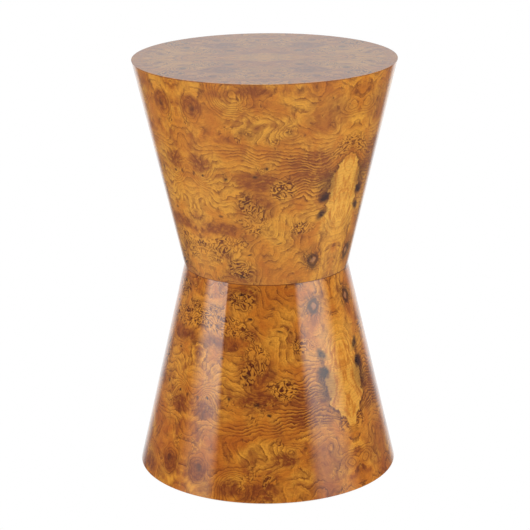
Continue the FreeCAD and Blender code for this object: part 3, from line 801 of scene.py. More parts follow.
@dataclass(frozen=True)
class Plywood:
    """Sanded birch plywood, whose plies show on the edges that face across them."""

    name: str
    across: tuple
    along: tuple
    ply: float = 1.5
    draw: float = 0.93
    light: tuple = (0.66, 0.485, 0.300)
    dark: tuple = (0.50, 0.330, 0.180)
    glue: tuple = (0.22, 0.130, 0.068)
    relief: float = 0.00010

    def build(self) -> Material:
        """Makes the material, with the plies stacked across one way and the grain along another.

        Returns:
            The material.
        """
        recipe = Recipe(self.name)
        place = recipe.object_place()
        layer = Channel(recipe, recipe.vector("DOT_PRODUCT", place, self.across)) / self.ply
        turned = (layer * 0.5).fraction().step(0.49, 0.51)
        joint = (layer.fraction() - 0.5).size().step(0.44, 0.49)
        squeeze = tuple(1.0 - self.draw * abs(part) for part in self.along)
        grain = recipe.grain(recipe.pushed(place, 1 / 40, 10.0), squeeze, 0.55, 4.0, 0.65)
        cloud = recipe.noise(place, 1 / 45, 2.0, 0.5)
        tint = recipe.layered(
            self.light,
            (grain.step(0.38, 0.68), self.dark),
            (cloud.step(0.4, 0.7) * 0.35, self.dark),
            (turned * 0.35, self.dark),
            (joint * 0.6, self.glue),
        )
        return recipe.finish({
            "Base Color": tint,
            "Roughness": 0.55 + grain * 0.22 + joint * 0.1,
            "Specular IOR Level": 0.4,
            "Sheen Weight": 0.08,
            "Normal": recipe.bump(grain - joint * 0.4, self.relief),
        })


@dataclass(frozen=True)
class PressedBoard:
    """Dark hardboard, or thin bending plywood: a sheet bent round the drum, with its grain upright."""

    name: str
    light: tuple
    dark: tuple
    stretch: float
    rough: float
    sheen: float
    relief: float = 0.00012

    def build(self) -> Material:
        """Makes the material.

        Returns:
            The material.
        """
        recipe = Recipe(self.name)
        place = recipe.object_place()
        squeeze = (1.0, 1.0, self.stretch)
        grain = recipe.grain(recipe.pushed(place, 1 / 22, 6.0), squeeze, 0.9, 4.0, 0.65)
        cloud = recipe.noise(place, 1 / 36, 3.0, 0.6)
        pits = recipe.noise(place, 1 / 1.1, 2.0, 0.6).step(0.60, 0.74)
        tint = recipe.layered(
            self.light,
            (cloud.step(0.35, 0.65) * 0.6, self.dark),
            (grain.step(0.42, 0.70) * 0.7, self.dark),
            (pits * 0.45, self.dark),
        )
        return recipe.finish({
            "Base Color": tint,
            "Roughness": self.rough + grain * 0.2 + pits * 0.08,
            "Specular IOR Level": 0.4,
            "Sheen Weight": self.sheen,
            "Normal": recipe.bump(grain - pits * 0.5, self.relief),
        })


@dataclass(frozen=True)
class DowelWood:
    """Turned beech, with its short brown rays."""

    light: tuple = (0.66, 0.450, 0.270)
    dark: tuple = (0.50, 0.300, 0.160)
    ray: tuple = (0.30, 0.155, 0.075)
    relief: float = 0.00008

    def build(self) -> Material:
        """Makes the material.

        Returns:
            The material.
        """
        recipe = Recipe("dowel_wood")
        place = recipe.object_place()
        grain = recipe.grain(place, (1.0, 1.0, 0.08), 1.1, 4.0, 0.6)
        rays = recipe.grain(place, (2.6, 2.6, 0.5), 0.8, 1.0, 0.5).step(0.62, 0.70)
        return recipe.finish({
            "Base Color": recipe.layered(
                self.light, (grain.step(0.38, 0.66), self.dark), (rays * 0.6, self.ray)
            ),
            "Roughness": 0.60 + grain * 0.18,
            "Specular IOR Level": 0.4,
            "Sheen Weight": 0.08,
            "Normal": recipe.bump(grain + rays * 0.4, self.relief),
        })


@dataclass(frozen=True)
class TurnedMetal:
    """Machined metal with fine tool marks and a little tarnish."""

    name: str
    bright: tuple
    dull: tuple
    # The colour of the tarnish spots.
    stain: tuple
    rough: float
    relief: float = 0.00002

    def build(self) -> Material:
        """Makes the material.

        Returns:
            The material.
        """
        recipe = Recipe(self.name)
        place = recipe.object_place()
        cloud = recipe.noise(recipe.pushed(place, 1 / 4, 3.0), 1 / 3.5, 3.0, 0.6)
        cuts = recipe.grain(place, (0.12, 0.12, 1.0), 5.0, 2.0, 0.5)
        spots = recipe.noise(place, 1.3, 2.0, 0.6).step(0.62, 0.76)
        return recipe.finish({
            "Base Color": recipe.layered(
                self.bright, (cloud.step(0.35, 0.70), self.dull), (spots * 0.5, self.stain)
            ),
            "Metallic": 1.0 - spots * 0.25,
            "Roughness": self.rough + cloud * 0.14 + cuts * 0.08,
            "Normal": recipe.bump(cuts - spots * 0.4, self.relief),
        })


@dataclass(frozen=True)
class PadNylon:
    """Black moulded nylon with a fine matt texture and scuffs."""

    black: tuple = (0.020, 0.019, 0.019)
    worn: tuple = (0.075, 0.070, 0.068)
    relief: float = 0.00006

    def build(self) -> Material:
        """Makes the material.

        Returns:
            The material.
        """
        recipe = Recipe("pad_nylon")
        place = recipe.object_place()
        texture = recipe.noise(place, 2.2, 2.0, 0.6)
        scuffs = recipe.grain(recipe.pushed(place, 1 / 7, 5.0), (1.0, 0.15, 1.0), 0.9, 3.0, 0.7)
        scuffs = scuffs.step(0.56, 0.74)
        cloud = recipe.noise(place, 1 / 9, 2.0, 0.5)
        return recipe.finish({
            "Base Color": recipe.mix(scuffs * 0.5 + cloud * 0.2, self.black, self.worn),
            "Roughness": 0.46 + texture * 0.12 + scuffs * 0.14,
            "Specular IOR Level": 0.5,
            "Normal": recipe.bump(texture + scuffs * 0.5, self.relief),
        })


@dataclass(frozen=True)
class Felt:
    """Pressed brown wool, with pale and dark fibres lying all ways."""

    wool: tuple = (0.150, 0.105, 0.070)
    pale: tuple = (0.330, 0.260, 0.190)
    dark: tuple = (0.060, 0.040, 0.027)
    sheen: tuple = (0.40, 0.29, 0.20)
    relief: float = 0.00025

    def build(self) -> Material:
        """Makes the material.

        Returns:
            The material.
        """
        recipe = Recipe("felt")
        place = recipe.object_place()
        tangled = recipe.pushed(place, 1 / 1.6, 2.4, 2.0)
        one_way = recipe.grain(tangled, (1.0, 0.12, 0.6), 3.2, 2.0, 0.6)
        other_way = recipe.grain(tangled, (0.12, 1.0, 0.6), 3.2, 2.0, 0.6)
        lump = recipe.noise(place, 1 / 5, 2.0, 0.5)
        tint = recipe.layered(
            self.wool,
            (lump.step(0.3, 0.7) * 0.4, self.dark),
            (one_way.step(0.58, 0.72) * 0.7, self.pale),
            (other_way.step(0.58, 0.72) * 0.7, self.dark),
        )
        return recipe.finish({
            "Base Color": tint,
            "Roughness": 0.86 + lump * 0.1,
            "Specular IOR Level": 0.2,
            "Sheen Weight": 0.3,
            "Sheen Roughness": 0.5,
            "Sheen Tint": opaque(self.sheen),
            "Normal": recipe.bump(one_way + other_way + lump * 0.5, self.relief),
        })


FINISHES: dict = {
    "fibreboard": Fibreboard(),
    "plywood": Plywood("plywood", UP, (1.0, 0.0, 0.0)),
    "hardboard": PressedBoard(
        "hardboard", (0.225, 0.120, 0.060), (0.110, 0.052, 0.026), stretch=0.7, rough=0.42, sheen=0.05
    ),
    "bending_ply": PressedBoard(
        "bending_ply", (0.62, 0.440, 0.285), (0.42, 0.265, 0.150), stretch=0.05, rough=0.62, sheen=0.1
    ),
    "dowel_wood": DowelWood(),
    "plated_steel": TurnedMetal(
        "plated_steel", (0.66, 0.66, 0.65), (0.50, 0.51, 0.53), (0.34, 0.30, 0.22), 0.22
    ),
    "insert_brass": TurnedMetal(
        "insert_brass", (0.80, 0.58, 0.26), (0.62, 0.41, 0.16), (0.28, 0.16, 0.07), 0.24
    ),
    "pad_nylon": PadNylon(),
    "felt": Felt(),
}


# Studio


@dataclass(frozen=True)
class Fade:
    """How a lamp's edges fade, in shares of its width from each edge.

    The first edge brightens over near. The other is dark over cut and at its full glow from far on.
    """

    near: float
    cut: float
    far: float


@dataclass(frozen=True)
class SoftBox:
    """A tall lamp that faces the table, with a plain part on top that mirrored rays don't meet.

    head says how its edges fade at the level of the waist, and foot how they fade near the floor. The
    levels between which one turns into the other are fading. It dims to foot_glow between the levels
    of dimming, and ends below the floor, as a shiny floor would show it.
    """

    name: str
    place: tuple
    width: float
    glow: float
    head: Fade
    foot: Fade
    foot_glow: float = 0.22
    bottom: float = -0.405
    dimming: tuple = (-0.16, 0.43)
    fading: tuple = (0.12, 0.48)
    shoulder: float = 0.56
    middle: float = 0.625
    top: float = 1.15
    top_share: float = 0.6

    def build(self) -> None:
        """Makes both parts."""
        self.shade(self.panel(self.name, self.bottom, self.middle, self.glow))
        top = self.panel(f"{self.name}_top", self.middle, self.top, self.glow * self.top_share)
        top.visible_glossy = False

    def panel(self, name: str, low: float, high: float, glow: float) -> bpy.types.Object:
        """Adds an upright rectangular lamp.

        Args:
            name: the lamp's name.
            low: the level of its lower edge.
            high: the level of its upper edge.
            glow: how bright it looks, where a white background is 1.

        Returns:
            The lamp.
        """
        data = bpy.data.lights.new(name, "AREA")
        data.shape = "RECTANGLE"
        data.size = self.width
        data.size_y = high - low
        data.energy = glow * math.pi * data.size * data.size_y
        lamp = bpy.data.objects.new(name, data)
        bpy.context.scene.collection.objects.link(lamp)
        lamp.location = (*self.place, (low + high) / 2)
        aim = Vector((-self.place[0], -self.place[1], 0.0))
        lamp.rotation_euler = aim.to_track_quat("-Z", "Y").to_euler()
        return lamp

    def shade(self, lamp: bpy.types.Object) -> None:
        """Fades the edges and the foot of the lower part.

        Args:
            lamp: the lower part.
        """
        recipe = Recipe(lamp.data, "Light")
        across, up, _ = recipe.split(recipe.node("TexCoord").outputs["UV"])
        level = up * lamp.data.size_y + self.bottom
        near = level.step(*self.fading, self.foot.near, self.head.near)
        edge = 1.0 - level.step(*self.fading, self.foot.cut, self.head.cut)
        inner = 1.0 - level.step(*self.fading, self.foot.far, self.head.far)
        glow = across.step(0.0, near) * across.step(edge, inner)
        glow = glow * level.step(self.bottom, self.dimming[0])
        glow = glow * level.step(*self.dimming, self.foot_glow, 1.0)
        shine = recipe.mix(glow * level.step(self.middle, self.shoulder), BLACK, WHITE)
        recipe.end(recipe.node("Emission", None, {"Color": shine, "Strength": 1.0}))


LAMPS = (
    SoftBox("left_box", (-1.768, -0.749), 1.60, 4.25, Fade(0.25, 0.16, 0.20), Fade(0.55, 0.0, 0.24)),
    SoftBox("right_box", (1.782, -0.908), 2.04, 3.8, Fade(0.16, 0.0, 0.50), Fade(0.30, 0.0, 0.45), 0.29),
)


@dataclass
class Studio:
    """The camera, the lamps, the floor and the background.

    The glosses are what mirrored rays see of the room in front, at the sides, of the floor and at the
    back. Each pair of an edge says where one part of the room turns into the next, on the direction.
    """

    camera_away: float = 2.8805
    camera_rise: float = 1.1713
    camera_pitch: float = 0.2936
    camera_roll: float = -0.009
    camera_yaw: float = 0.00065
    lens: float = 139.04
    sensor: float = 36.0
    floor_sides: int = 96
    floor_radius: float = 9.0
    floor_tone: float = 0.86
    shadow_reach: tuple = (181.5, 185.5)
    front_gloss: float = 0.08
    side_gloss: float = 0.15
    floor_gloss: float = 0.50
    back_gloss: float = 0.67
    side_edge: tuple = (-0.1, 0.5)
    floor_edge: tuple = (-0.45, -0.58)
    back_edge: tuple = (0.64, 0.78)
    back_lean: float = 0.5
    backdrop_edge: tuple = (-0.05, 0.2)
    surround: float = 1.12
    sides: float = 1.52
    overhead: float = 0.30
    overhead_edge: tuple = (0.0, 0.8)
    flank_edge: tuple = (0.3, 0.9)

    def build(self) -> None:
        """Sets the whole scene round the table."""
        self.place_camera()
        for lamp in LAMPS:
            lamp.build()
        self.lay_floor()
        self.set_world()
        bpy.context.scene.view_settings.view_transform = "Standard"

    def place_camera(self) -> None:
        """Stands the camera where the photograph was taken from."""
        data = bpy.data.cameras.new("camera")
        data.lens = self.lens
        data.sensor_width = self.sensor
        camera = bpy.data.objects.new("camera", data)
        bpy.context.scene.collection.objects.link(camera)
        turned = Matrix.Rotation(self.camera_yaw, 4, "Z")
        tipped = Matrix.Rotation(math.pi / 2 - self.camera_pitch, 4, "X")
        rolled = Matrix.Rotation(self.camera_roll, 4, "Z")
        stood = Matrix.Translation((0.0, -self.camera_away, self.camera_rise))
        camera.matrix_world = stood @ turned @ tipped @ rolled
        bpy.context.scene.camera = camera

    def lay_floor(self) -> None:
        """Lays a wide pale floor that keeps the table's shadow and ends in the white background.

        Mirrored rays pass through it, and the world shows them a floor and a backdrop instead.
        """
        deselect_all()
        bpy.ops.mesh.primitive_circle_add(
            vertices=self.floor_sides, radius=self.floor_radius, fill_type="NGON"
        )
        floor = bpy.context.object
        floor.name = "floor"
        recipe = Recipe("studio_floor")
        share = recipe.length(recipe.object_place()).step(*self.shadow_reach)
        lit = recipe.node("BsdfDiffuse", None, {"Color": (*(self.floor_tone,) * 3, 1.0)})
        white = recipe.node("Emission", None, {"Color": opaque(WHITE)})
        both = recipe.node("MixShader", None, {0: share, 1: lit.outputs[0], 2: white.outputs[0]})
        clear = recipe.node("BsdfTransparent")
        under = Channel(recipe, recipe.node("NewGeometry").outputs["Backfacing"])
        gone = under | Channel(recipe, recipe.node("LightPath").outputs["Is Glossy Ray"])
        recipe.end(recipe.node("MixShader", None, {0: gone, 1: both.outputs[0], 2: clear.outputs[0]}))
        floor.data.materials.append(recipe.owner)

    def set_world(self) -> None:
        """Gives a white background, an even light that is dimmer overhead, and a darker front to mirror."""
        world = bpy.data.worlds.new("studio")
        bpy.context.scene.world = world
        recipe = Recipe(world, "World")
        rays = recipe.node("LightPath")
        seen = Channel(recipe, rays.outputs["Is Camera Ray"])
        mirrored = Channel(recipe, rays.outputs["Is Glossy Ray"])
        right, back, up = recipe.split(recipe.node("TexCoord").outputs["Generated"])
        front = back.step(*self.side_edge, self.front_gloss, self.side_gloss)
        floor = up.step(*self.floor_edge, front, self.floor_gloss)
        backdrop = up.step(*self.backdrop_edge, 1.0, self.back_gloss)
        gloss = floor + (back + up * self.back_lean).step(*self.back_edge) * (backdrop - floor)
        soft = up.step(*self.overhead_edge, self.surround, self.overhead)
        soft = soft * right.size().step(*self.flank_edge, 1.0, self.sides)
        glow = soft + mirrored * (gloss - soft)
        glow = glow + seen * (1.0 - glow)
        peak = self.surround * self.sides
        sky = recipe.mix(glow / peak, BLACK, WHITE)
        recipe.end(recipe.node("Background", None, {"Color": sky, "Strength": peak}))


# Modelling


def deselect_all() -> None:
    """Clears the selection, which loading the frame leaves full."""
    bpy.ops.object.select_all(action="DESELECT")


@dataclass
class Workpiece:
    """A new piece, begun as a primitive and shaped by edit-mode operators."""

    thing: bpy.types.Object

    @classmethod
    def begin(cls, name: str, add: Callable, **sizes: Any) -> "Workpiece":
        """Begins a piece as a primitive and settles its place in its mesh.

        Args:
            name: the piece's name.
            add: the operator that adds the primitive.
            sizes: the primitive's sizes and place.

        Returns:
            The piece.
        """
        deselect_all()
        add(**sizes)
        piece = cls(bpy.context.object)
        piece.name_it(name)
        bpy.ops.object.transform_apply(location=True, rotation=True, scale=True)
        return piece

    def pick(self) -> None:
        """Selects the piece alone and makes it the active one."""
        deselect_all()
        self.thing.select_set(True)
        bpy.context.view_layer.objects.active = self.thing

    def edit(self) -> None:
        """Opens the piece in edit mode."""
        self.pick()
        bpy.ops.object.mode_set(mode="EDIT")

    def close(self) -> None:
        """Goes back to object mode."""
        bpy.ops.object.mode_set(mode="OBJECT")

    def choose(self, test: Callable[[Vector, Vector], bool]) -> None:
        """Selects the faces whose middle and normal pass a test.

        Args:
            test: takes a face's middle and its normal.
        """
        bpy.ops.mesh.select_all(action="DESELECT")
        bpy.ops.mesh.select_mode(type="FACE")
        mesh = bmesh.from_edit_mesh(self.thing.data)
        for face in mesh.faces:
            if test(face.calc_center_median(), face.normal):
                face.select_set(True)
        mesh.select_flush_mode()
        bmesh.update_edit_mesh(self.thing.data)

    def cut(self, normal: tuple, level: float = 0.0, **sides: bool) -> None:
        """Bisects all of the piece by a plane through the axis, and can clear a side and close the cut."""
        bpy.ops.mesh.select_all(action="SELECT")
        bpy.ops.mesh.bisect(plane_co=(0.0, 0.0, level), plane_no=normal, **sides)

    def face_out(self) -> None:
        """Points all faces of the closed piece outwards."""
        bpy.ops.mesh.select_all(action="SELECT")
        bpy.ops.mesh.normals_make_consistent(inside=False)

    def modify(self, kind: str, **settings: Any) -> None:
        """Adds a modifier and applies it.

        Args:
            kind: its type.
            settings: its properties.
        """
        self.pick()
        made = self.thing.modifiers.new(kind.lower(), kind)
        for name, value in settings.items():
            setattr(made, name, value)
        bpy.ops.object.modifier_apply(modifier=made.name)

    def smooth(self, degrees: float = 50.0) -> None:
        """Shades the piece smooth and keeps its broad faces true.

        Args:
            degrees: the angle from which an edge stays sharp.
        """
        self.pick()
        bpy.ops.object.shade_smooth_by_angle(angle=math.radians(degrees))
        self.modify("WEIGHTED_NORMAL", mode="FACE_AREA", weight=100, keep_sharp=True)

    def soften(self, width: float) -> None:
        """Rounds the sharp edges."""
        self.modify("BEVEL", width=width, segments=2, limit_method="ANGLE", angle_limit=SHARP_EDGE)

    def join(self, *others: "Workpiece") -> None:
        """Joins other pieces to this one.

        Args:
            others: the pieces, which are gone afterwards.
        """
        self.pick()
        for piece in others:
            piece.thing.select_set(True)
        bpy.ops.object.join()

    def name_it(self, name: str) -> None:
        """Names the piece and its mesh."""
        self.thing.name = name
        self.thing.data.name = name

    def copy_round(self, degrees: float) -> "Workpiece":
        """Copies the piece with its mesh.

        Args:
            degrees: how far the copy is turned round the table's axis.

        Returns:
            The copy.
        """
        twin = self.thing.copy()
        twin.data = self.thing.data.copy()
        twin.data.transform(Matrix.Rotation(math.radians(degrees), 4, "Z"))
        bpy.context.scene.collection.objects.link(twin)
        return Workpiece(twin)

    def hand_over(self, node: str, body: str, slot: str, material: Material) -> None:
        """Dresses the piece and puts it in the place of a frame node.

        Args:
            node: the frame node that the piece stands for.
            body: the body that it rides on.
            slot: the record's material slot, which is not used.
            material: its finish.
        """
        self.thing.data.materials.clear()
        self.thing.data.materials.append(material)
        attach(self.thing, body)
        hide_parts(node)
        logging.info("%s: %d faces on %s", self.thing.name, len(self.thing.data.polygons), body)


def write_sheet(thing: bpy.types.Object, flatten: Callable[[Vector], tuple]) -> None:
    """Writes where each vertex lies on the flat veneer sheet.

    Args:
        thing: the leaf.
        flatten: turns a vertex's place into its place on the sheet.
    """
    places = [part for vertex in thing.data.vertices for part in flatten(vertex.co)]
    made = thing.data.attributes.new(SHEET, "FLOAT_VECTOR", "POINT")
    made.data.foreach_set("vector", places)


def turn_from(middle: float, place: Vector) -> float:
    """How far a place is turned round the table's axis from a middle, in radians."""
    return math.remainder(math.atan2(place.y, place.x) - middle, math.tau)


# The table


@dataclass
class Drum:
    """One veneered cone, upper or lower, with its four book-matched leaves.

    Its first seam is seam_turn degrees from +X. The cone is made longer by overrun at both ends and cut
    to length when it has its thickness, and arris is how much its edges are broken.
    """

    name: str
    waist_level: float
    rim_level: float
    waist_radius: float
    rim_radius: float
    seam_turn: float = 47.0
    thickness: float = 0.0006
    columns: int = 96
    rows: int = 24
    overrun: float = 0.004
    arris: float = 0.00006

    @property
    def slope(self) -> float:
        """How much the radius grows for each unit of level."""
        return (self.rim_radius - self.waist_radius) / (self.rim_level - self.waist_level)

    @property
    def apex(self) -> float:
        """The level of the cone's apex."""
        return self.waist_level - self.waist_radius / self.slope

    @property
    def stretch(self) -> float:
        """Slant length for each unit of level."""
        return math.hypot(1.0, self.slope)

    @property
    def sheet(self) -> ConeSheet:
        """The flat sheet of one leaf.

        Returns:
            Its slants and how far it spreads.
        """
        waist = abs(self.waist_level - self.apex) * self.stretch
        rim = abs(self.rim_level - self.apex) * self.stretch
        return ConeSheet(waist * MILLIMETRES, rim * MILLIMETRES, self.rim_radius / rim)

    def radius_at(self, level: float) -> float:
        """The cone's radius at a level, also past its ends."""
        return self.waist_radius + (level - self.waist_level) * self.slope

    def flatten(self, middle: float, mirrored: bool) -> Callable[[Vector], tuple]:
        """How a place on a leaf lies on the flat sheet.

        Args:
            middle: the turn of the leaf's middle from +X, in radians.
            mirrored: whether the leaf was turned over, as every second one is.

        Returns:
            The function that write_sheet takes.
        """
        spread = -self.sheet.spread if mirrored else self.sheet.spread
        waist = self.sheet.waist_slant / MILLIMETRES

        def to_sheet(place: Vector) -> tuple:
            """Lays a place on the sheet.

            Args:
                place: the place on the leaf.

            Returns:
                The place on the sheet, in metres.
            """
            slant = abs(place.z - self.apex) * self.stretch
            angle = turn_from(middle, place) * spread
            return slant * math.sin(angle), slant * math.cos(angle) - waist, 0.0

        return to_sheet

    def build(self, material: Material) -> None:
        """Makes the four leaves.

        Args:
            material: the veneer.
        """
        low, high = sorted((self.waist_level, self.rim_level))
        for side in Side:
            first = self.seam_turn + side.turn
            middle = math.radians(first + FULL_TURN / 8)
            piece = Workpiece.begin(
                f"{self.name}_{side.word}_veneer",
                bpy.ops.mesh.primitive_cone_add,
                vertices=self.columns * 4,
                radius1=self.radius_at(low - self.overrun),
                radius2=self.radius_at(high + self.overrun),
                depth=high - low + 2 * self.overrun,
                end_fill_type="NOTHING",
                location=(0.0, 0.0, (low + high) / 2),
                rotation=(0.0, 0.0, math.radians(first)),
            )
            self.shape_leaf(piece, middle, low, high)
            write_sheet(piece.thing, self.flatten(middle, side.value % 2 == 1))
            piece.hand_over(f"{self.name}_leaf_{side.word}", "table", "burl_veneer", material)

    def shape_leaf(self, piece: Workpiece, middle: float, low: float, high: float) -> None:
        """Cuts a quarter from the open cone, gives it its thickness and breaks its edges.

        Args:
            piece: the open cone.
            middle: the turn of the leaf's middle from +X, in radians.
            low: the level of its lower edge.
            high: the level of its upper edge.
        """
        half = math.radians(FULL_TURN / 8)
        piece.edit()
        piece.choose(lambda place, _: abs(turn_from(middle, place)) > half)
        bpy.ops.mesh.delete(type="FACE")
        for row in range(1, self.rows):
            piece.cut(UP, low + (high - low) * row / self.rows)
        piece.close()
        piece.modify("SOLIDIFY", thickness=self.thickness, offset=-1.0, use_even_offset=True)
        piece.edit()
        piece.cut(UP, low, clear_inner=True, use_fill=True)
        piece.cut(UP, high, clear_outer=True, use_fill=True)
        piece.face_out()
        piece.close()
        piece.soften(self.arris)
        piece.smooth()


@dataclass
class Top:
    """The round top in four matched quarters of burl."""

    under_level: float
    level: float
    under_radius: float
    radius: float
    columns: int = 96
    arris: float = 0.00012

    def build(self, material: Material) -> None:
        """Makes the four leaves.

        Args:
            material: the veneer.
        """
        for quarter in Quarter:
            piece = Workpiece.begin(
                f"top_{quarter.word}_veneer",
                bpy.ops.mesh.primitive_cone_add,
                vertices=self.columns * 4,
                radius1=self.under_radius,
                radius2=self.radius,
                depth=self.level - self.under_level,
                location=(0.0, 0.0, (self.level + self.under_level) / 2),
            )
            across = math.cos(math.radians(quarter.turn))
            along = math.sin(math.radians(quarter.turn))
            piece.edit()
            for normal in ((along, -across, 0.0), (-across, -along, 0.0)):
                piece.cut(normal, clear_outer=True, use_fill=True)
            piece.close()
            piece.soften(self.arris)
            piece.smooth()
            write_sheet(piece.thing, lambda place: (abs(place.x), abs(place.y), 0.0))
            piece.hand_over(f"top_leaf_{quarter.word}", "table", "burl_veneer", material)


@dataclass
class Glides:
    """The four levelling glides: a threaded stem in a nylon pad with a felt under it.

    ridge is the size of the thread's triangle in shares of the pitch. The grip has milled faces out of
    every few, as grip_faces and grip_every say.
    """

    finishes: dict
    pitch: float = 0.00125
    thread_depth: float = 0.00062
    thread_steps: int = 32
    ridge: float = 0.45
    sides: int = 96
    grip_depth: float = 0.0004
    grip_faces: int = 2
    grip_every: int = 4
    edge: float = 0.00015
    felt_round: float = 0.0004

    def build(self) -> None:
        """Makes each piece at the first glide, then its copies at the others."""
        for kind, make, body in (
            ("stem", self.make_stem, "stem"), ("pad", self.make_pad, "pad"), ("felt", self.make_felt, "pad"),
        ):
            model = make()
            for quarter in Quarter:
                piece = model.copy_round(quarter.turn) if quarter.value else model
                piece.name_it(f"{kind}_{quarter.word}")
                node = f"glide_{kind}_{quarter.word}"
                slot = slot_of(node)
                piece.hand_over(node, f"glide_{body}_{quarter.word}", slot, self.finishes[slot])

    @staticmethod
    def outline(kind: str) -> tuple:
        """Measures the frame's piece of the first glide.

        Args:
            kind: the kind of piece.

        Returns:
            Its middle, and its radii at each level, both from the least up.
        """
        low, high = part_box(f"glide_{kind}_back_right")
        middle = (low + high) / 2
        radii: dict = {}
        for vertex in frame["nodes"][f"glide_{kind}_back_right"].data.vertices:
            radius = math.hypot(vertex.co.x - middle.x, vertex.co.y - middle.y)
            radii.setdefault(round(vertex.co.z, 6), set()).add(round(radius, 5))
        return middle, {level: sorted(radii[level]) for level in sorted(radii)}

    def make_stem(self) -> Workpiece:
        """Makes a stem: a foot, a neck, a hexagon collar and a threaded shank.

        Returns:
            The first stem.
        """
        middle, radii = self.outline("stem")
        levels = list(radii)
        foot, foot_top, collar, collar_top = levels[:4]
        neck = radii[foot_top][0]
        shank = radii[levels[4]][-1]
        root = shank - self.thread_depth
        end = levels[-1] - self.thread_depth
        stem = self.turned("stem", middle, (
            (radii[foot][-1], foot), (radii[foot][-1], foot_top), (neck, foot_top), (neck, collar),
            (root, collar), (root, end), (root - self.thread_depth, levels[-1]),
        ))
        stem.soften(self.edge / 2)
        nut = Workpiece.begin(
            "collar", bpy.ops.mesh.primitive_cylinder_add, vertices=6, radius=radii[collar][-1],
            depth=collar_top - collar, location=(middle.x, middle.y, (collar + collar_top) / 2),
            rotation=(0.0, 0.0, self.corner_turn(middle, collar_top)),
        )
        nut.soften(self.edge * 2)
        stem.join(nut, self.make_thread(middle, root, shank, collar_top, end))
        stem.smooth(35.0)
        return stem

    @staticmethod
    def corner_turn(middle: Vector, level: float) -> float:
        """Finds how the frame's hexagon collar is turned.

        Args:
            middle: where the stem's axis stands.
            level: the level of the collar's upper face.

        Returns:
            The turn of a corner from +Y, where a cylinder's first corner is.
        """
        mesh = frame["nodes"]["glide_stem_back_right"].data
        corners = [v.co - middle for v in mesh.vertices if abs(v.co.z - level) < SAME_LEVEL]
        corner = max(corners, key=lambda place: math.hypot(place.x, place.y))
        return math.atan2(corner.y, corner.x) - math.pi / 2

    def make_thread(self, middle: Vector, root: float, crest: float, low: float, high: float) -> Workpiece:
        """Makes the ridge of the thread: a small triangle that is screwed up round the shank.

        A triangle is one and a half of its radius high, with its middle a third of the way up.

        Args:
            middle: where the stem's axis stands.
            root: the thread's inner radius.
            crest: its outer radius.
            low: where the shank begins.
            high: where it ends.

        Returns:
            The ridge, closed at both ends.
        """
        radius = self.pitch * self.ridge
        ridge = Workpiece.begin(
            "thread", bpy.ops.mesh.primitive_circle_add, vertices=3, radius=radius, fill_type="NOTHING",
            rotation=(math.pi / 2, math.pi / 2, 0.0),
        )
        ridge.edit()
        bpy.ops.mesh.select_all(action="SELECT")
        share = (crest - root) / (radius * 1.5)
        bpy.ops.transform.resize(value=(share, 1.0, 1.0), center_override=CENTRE)
        bpy.ops.transform.translate(value=(root + (crest - root) / 3, 0.0, 0.0))
        ridge.close()
        ridge.modify(
            "SCREW", axis="Z", screw_offset=self.pitch, iterations=int((high - low) / self.pitch) - 1,
            steps=self.thread_steps, render_steps=self.thread_steps, use_smooth_shade=True,
        )
        ridge.edit()
        bpy.ops.mesh.select_all(action="SELECT")
        bpy.ops.mesh.fill_holes(sides=3)
        ridge.face_out()
        bpy.ops.transform.translate(value=(middle.x, middle.y, low + self.pitch))
        ridge.close()
        return ridge

    def make_pad(self) -> Workpiece:
        """Makes a pad, with a grip milled round it and a socket for the stem's foot.

        Returns:
            The first pad.
        """
        middle, radii = self.outline("pad")
        levels = list(radii)
        low, socket, shoulder, top = levels[0], levels[1], levels[2], levels[-1]
        wide, mouth = radii[low][-1], radii[top][0]
        hole = radii[socket][-1]
        pad = self.turned("pad", middle, (
            (wide, low), (wide, shoulder), (radii[top][-1], top), (mouth, top), (mouth, shoulder),
            (hole, shoulder), (hole, socket),
        ))

        def in_groove(place: Vector, normal: Vector) -> bool:
            """Whether a face is an upright one of the rim that is milled away.

            Args:
                place: the middle of the face.
                normal: its normal.

            Returns:
                Whether it is.
            """
            away = place - middle
            turn = math.atan2(away.y, away.x) % math.tau
            step = int(turn / math.tau * self.sides + 0.01) % self.grip_every
            outer = math.hypot(away.x, away.y) > (wide + hole) / 2
            return outer and abs(normal.z) < 0.1 and step < self.grip_faces

        pad.edit()
        pad.choose(in_groove)
        bpy.ops.mesh.inset(thickness=self.grip_depth / 2, depth=-self.grip_depth)
        pad.close()
        pad.soften(self.edge)
        pad.smooth(40.0)
        return pad

    def make_felt(self) -> Workpiece:
        """Makes a felt disc, with rounded edges.

        Returns:
            The first felt.
        """
        middle, radii = self.outline("felt")
        low, high = min(radii), max(radii)
        wide, cut = radii[low][-1], self.felt_round
        felt = self.turned("felt", middle, (
            (wide - cut, low), (wide, low + cut), (wide, high - cut / 2), (wide - cut / 2, high),
        ))
        felt.soften(self.edge / 2)
        felt.smooth(60.0)
        return felt

    def turned(self, name: str, middle: Vector, outline: tuple) -> Workpiece:
        """Turns a piece on a lathe.

        Args:
            name: the piece's name.
            middle: where its axis stands.
            outline: its radius and level at each corner, from the foot up.

        Returns:
            The piece, closed at both ends.
        """
        (radius, level), *rest = outline
        piece = Workpiece.begin(
            name, bpy.ops.mesh.primitive_circle_add, vertices=self.sides, radius=radius,
            fill_type="NGON", location=(middle.x, middle.y, level),
        )
        piece.edit()
        bpy.ops.mesh.select_all(action="SELECT")
        for wider, higher in rest:
            bpy.ops.mesh.extrude_region_move(TRANSFORM_OT_translate={"value": (0.0, 0.0, higher - level)})
            share = wider / radius
            bpy.ops.transform.resize(value=(share, share, 1.0), center_override=(middle.x, middle.y, higher))
            radius, level = wider, higher
        piece.face_out()
        piece.close()
        return piece


# The frame's own shapes


def slot_of(node: str) -> str:
    """The record's material slot of a frame node."""
    return next(part["material_slot"] for part in frame["record"]["subparts"] if part["node"] == node)


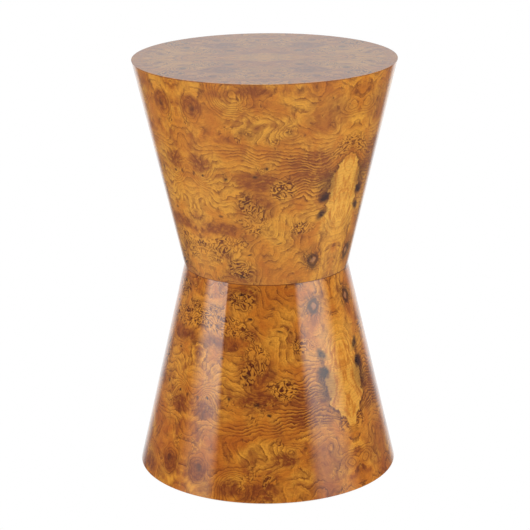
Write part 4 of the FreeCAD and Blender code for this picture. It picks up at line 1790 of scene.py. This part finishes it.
def levels_of(node: str) -> tuple:
    """The lowest and the highest level of a frame node."""
    return tuple(corner.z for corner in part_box(node))


def radius_of(node: str, level: float) -> float:
    """The outer radius of a frame node at a level."""
    mesh = frame["nodes"][node].data
    return max(math.hypot(v.co.x, v.co.y) for v in mesh.vertices if abs(v.co.z - level) < SAME_LEVEL)


@cache
def rib_plywood(degrees: int) -> Material:
    """Plywood whose plies stand across a rib at a turn from +X."""
    turn = math.radians(degrees)
    return Plywood(f"rib_plywood_{degrees}", (-math.sin(turn), math.cos(turn), 0.0), UP).build()


def dress_frame(finishes: dict) -> None:
    """Gives the frame's own shapes their finishes, and each rib the plywood that runs its way.

    Args:
        finishes: the materials by slot.
    """
    for name, thing in frame["nodes"].items():
        material = finishes[slot_of(name)]
        if "_rib_" in name:
            low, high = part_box(name)
            turn = math.atan2(low.y + high.y, low.x + high.x)
            material = rib_plywood(round(math.degrees(turn)) % 180)
        thing.data.materials.clear()
        thing.data.materials.append(material)


def main() -> None:
    """Builds the table and the studio in order."""
    logging.basicConfig(level=logging.INFO, format="%(message)s")
    waist, rim = levels_of("upper_leaf_front")
    base = levels_of("lower_leaf_front")[0]
    top_low, top_high = levels_of("top_leaf_back_right")
    waist_radius = radius_of("upper_leaf_front", waist)
    rim_radius = radius_of("upper_leaf_front", rim)

    upper = Drum("upper", waist, rim, waist_radius, rim_radius)
    lower = Drum("lower", waist, base, waist_radius, radius_of("lower_leaf_front", base))
    top = Top(top_low, top_high, rim_radius, radius_of("top_leaf_back_right", top_high))
    waist_seam = waist * MILLIMETRES
    # Painted light and shade: both drums share one veneer, tinted differently for how the light falls on
    # each. The lower one is darkened by a gamma as painted shade and made bluer as a painted haze of
    # reflected light.
    upper_veneer = replace(CONE_BURL, seams=(waist_seam, rim * MILLIMETRES), stain=(0.95, 0.95, 0.97))
    # Its extra clouds are painted shade near its foot.
    lower_veneer = replace(
        CONE_BURL, name="lower_burl", depth=6.0, seams=(waist_seam,), clouds=CONE_BURL.clouds + FOOT_SHADE_CLOUDS,
        sapwood=Sapwood(narrowing=164.0, tip=218.0, wide=36.0), stain=(1.01, 1.04, 1.34), richness=1.15,
    )
    upper_burl = upper_veneer.build(upper.sheet)
    upper.build(upper_burl)
    lower.build(lower_veneer.build(lower.sheet))
    top.build(TOP_BURL.build(None))
    finishes = {slot: finish.build() for slot, finish in FINISHES.items()}
    Glides(finishes).build()
    dress_frame({**finishes, "burl_veneer": upper_burl})
    Studio().build()


if __name__ == "__main__":
    main()
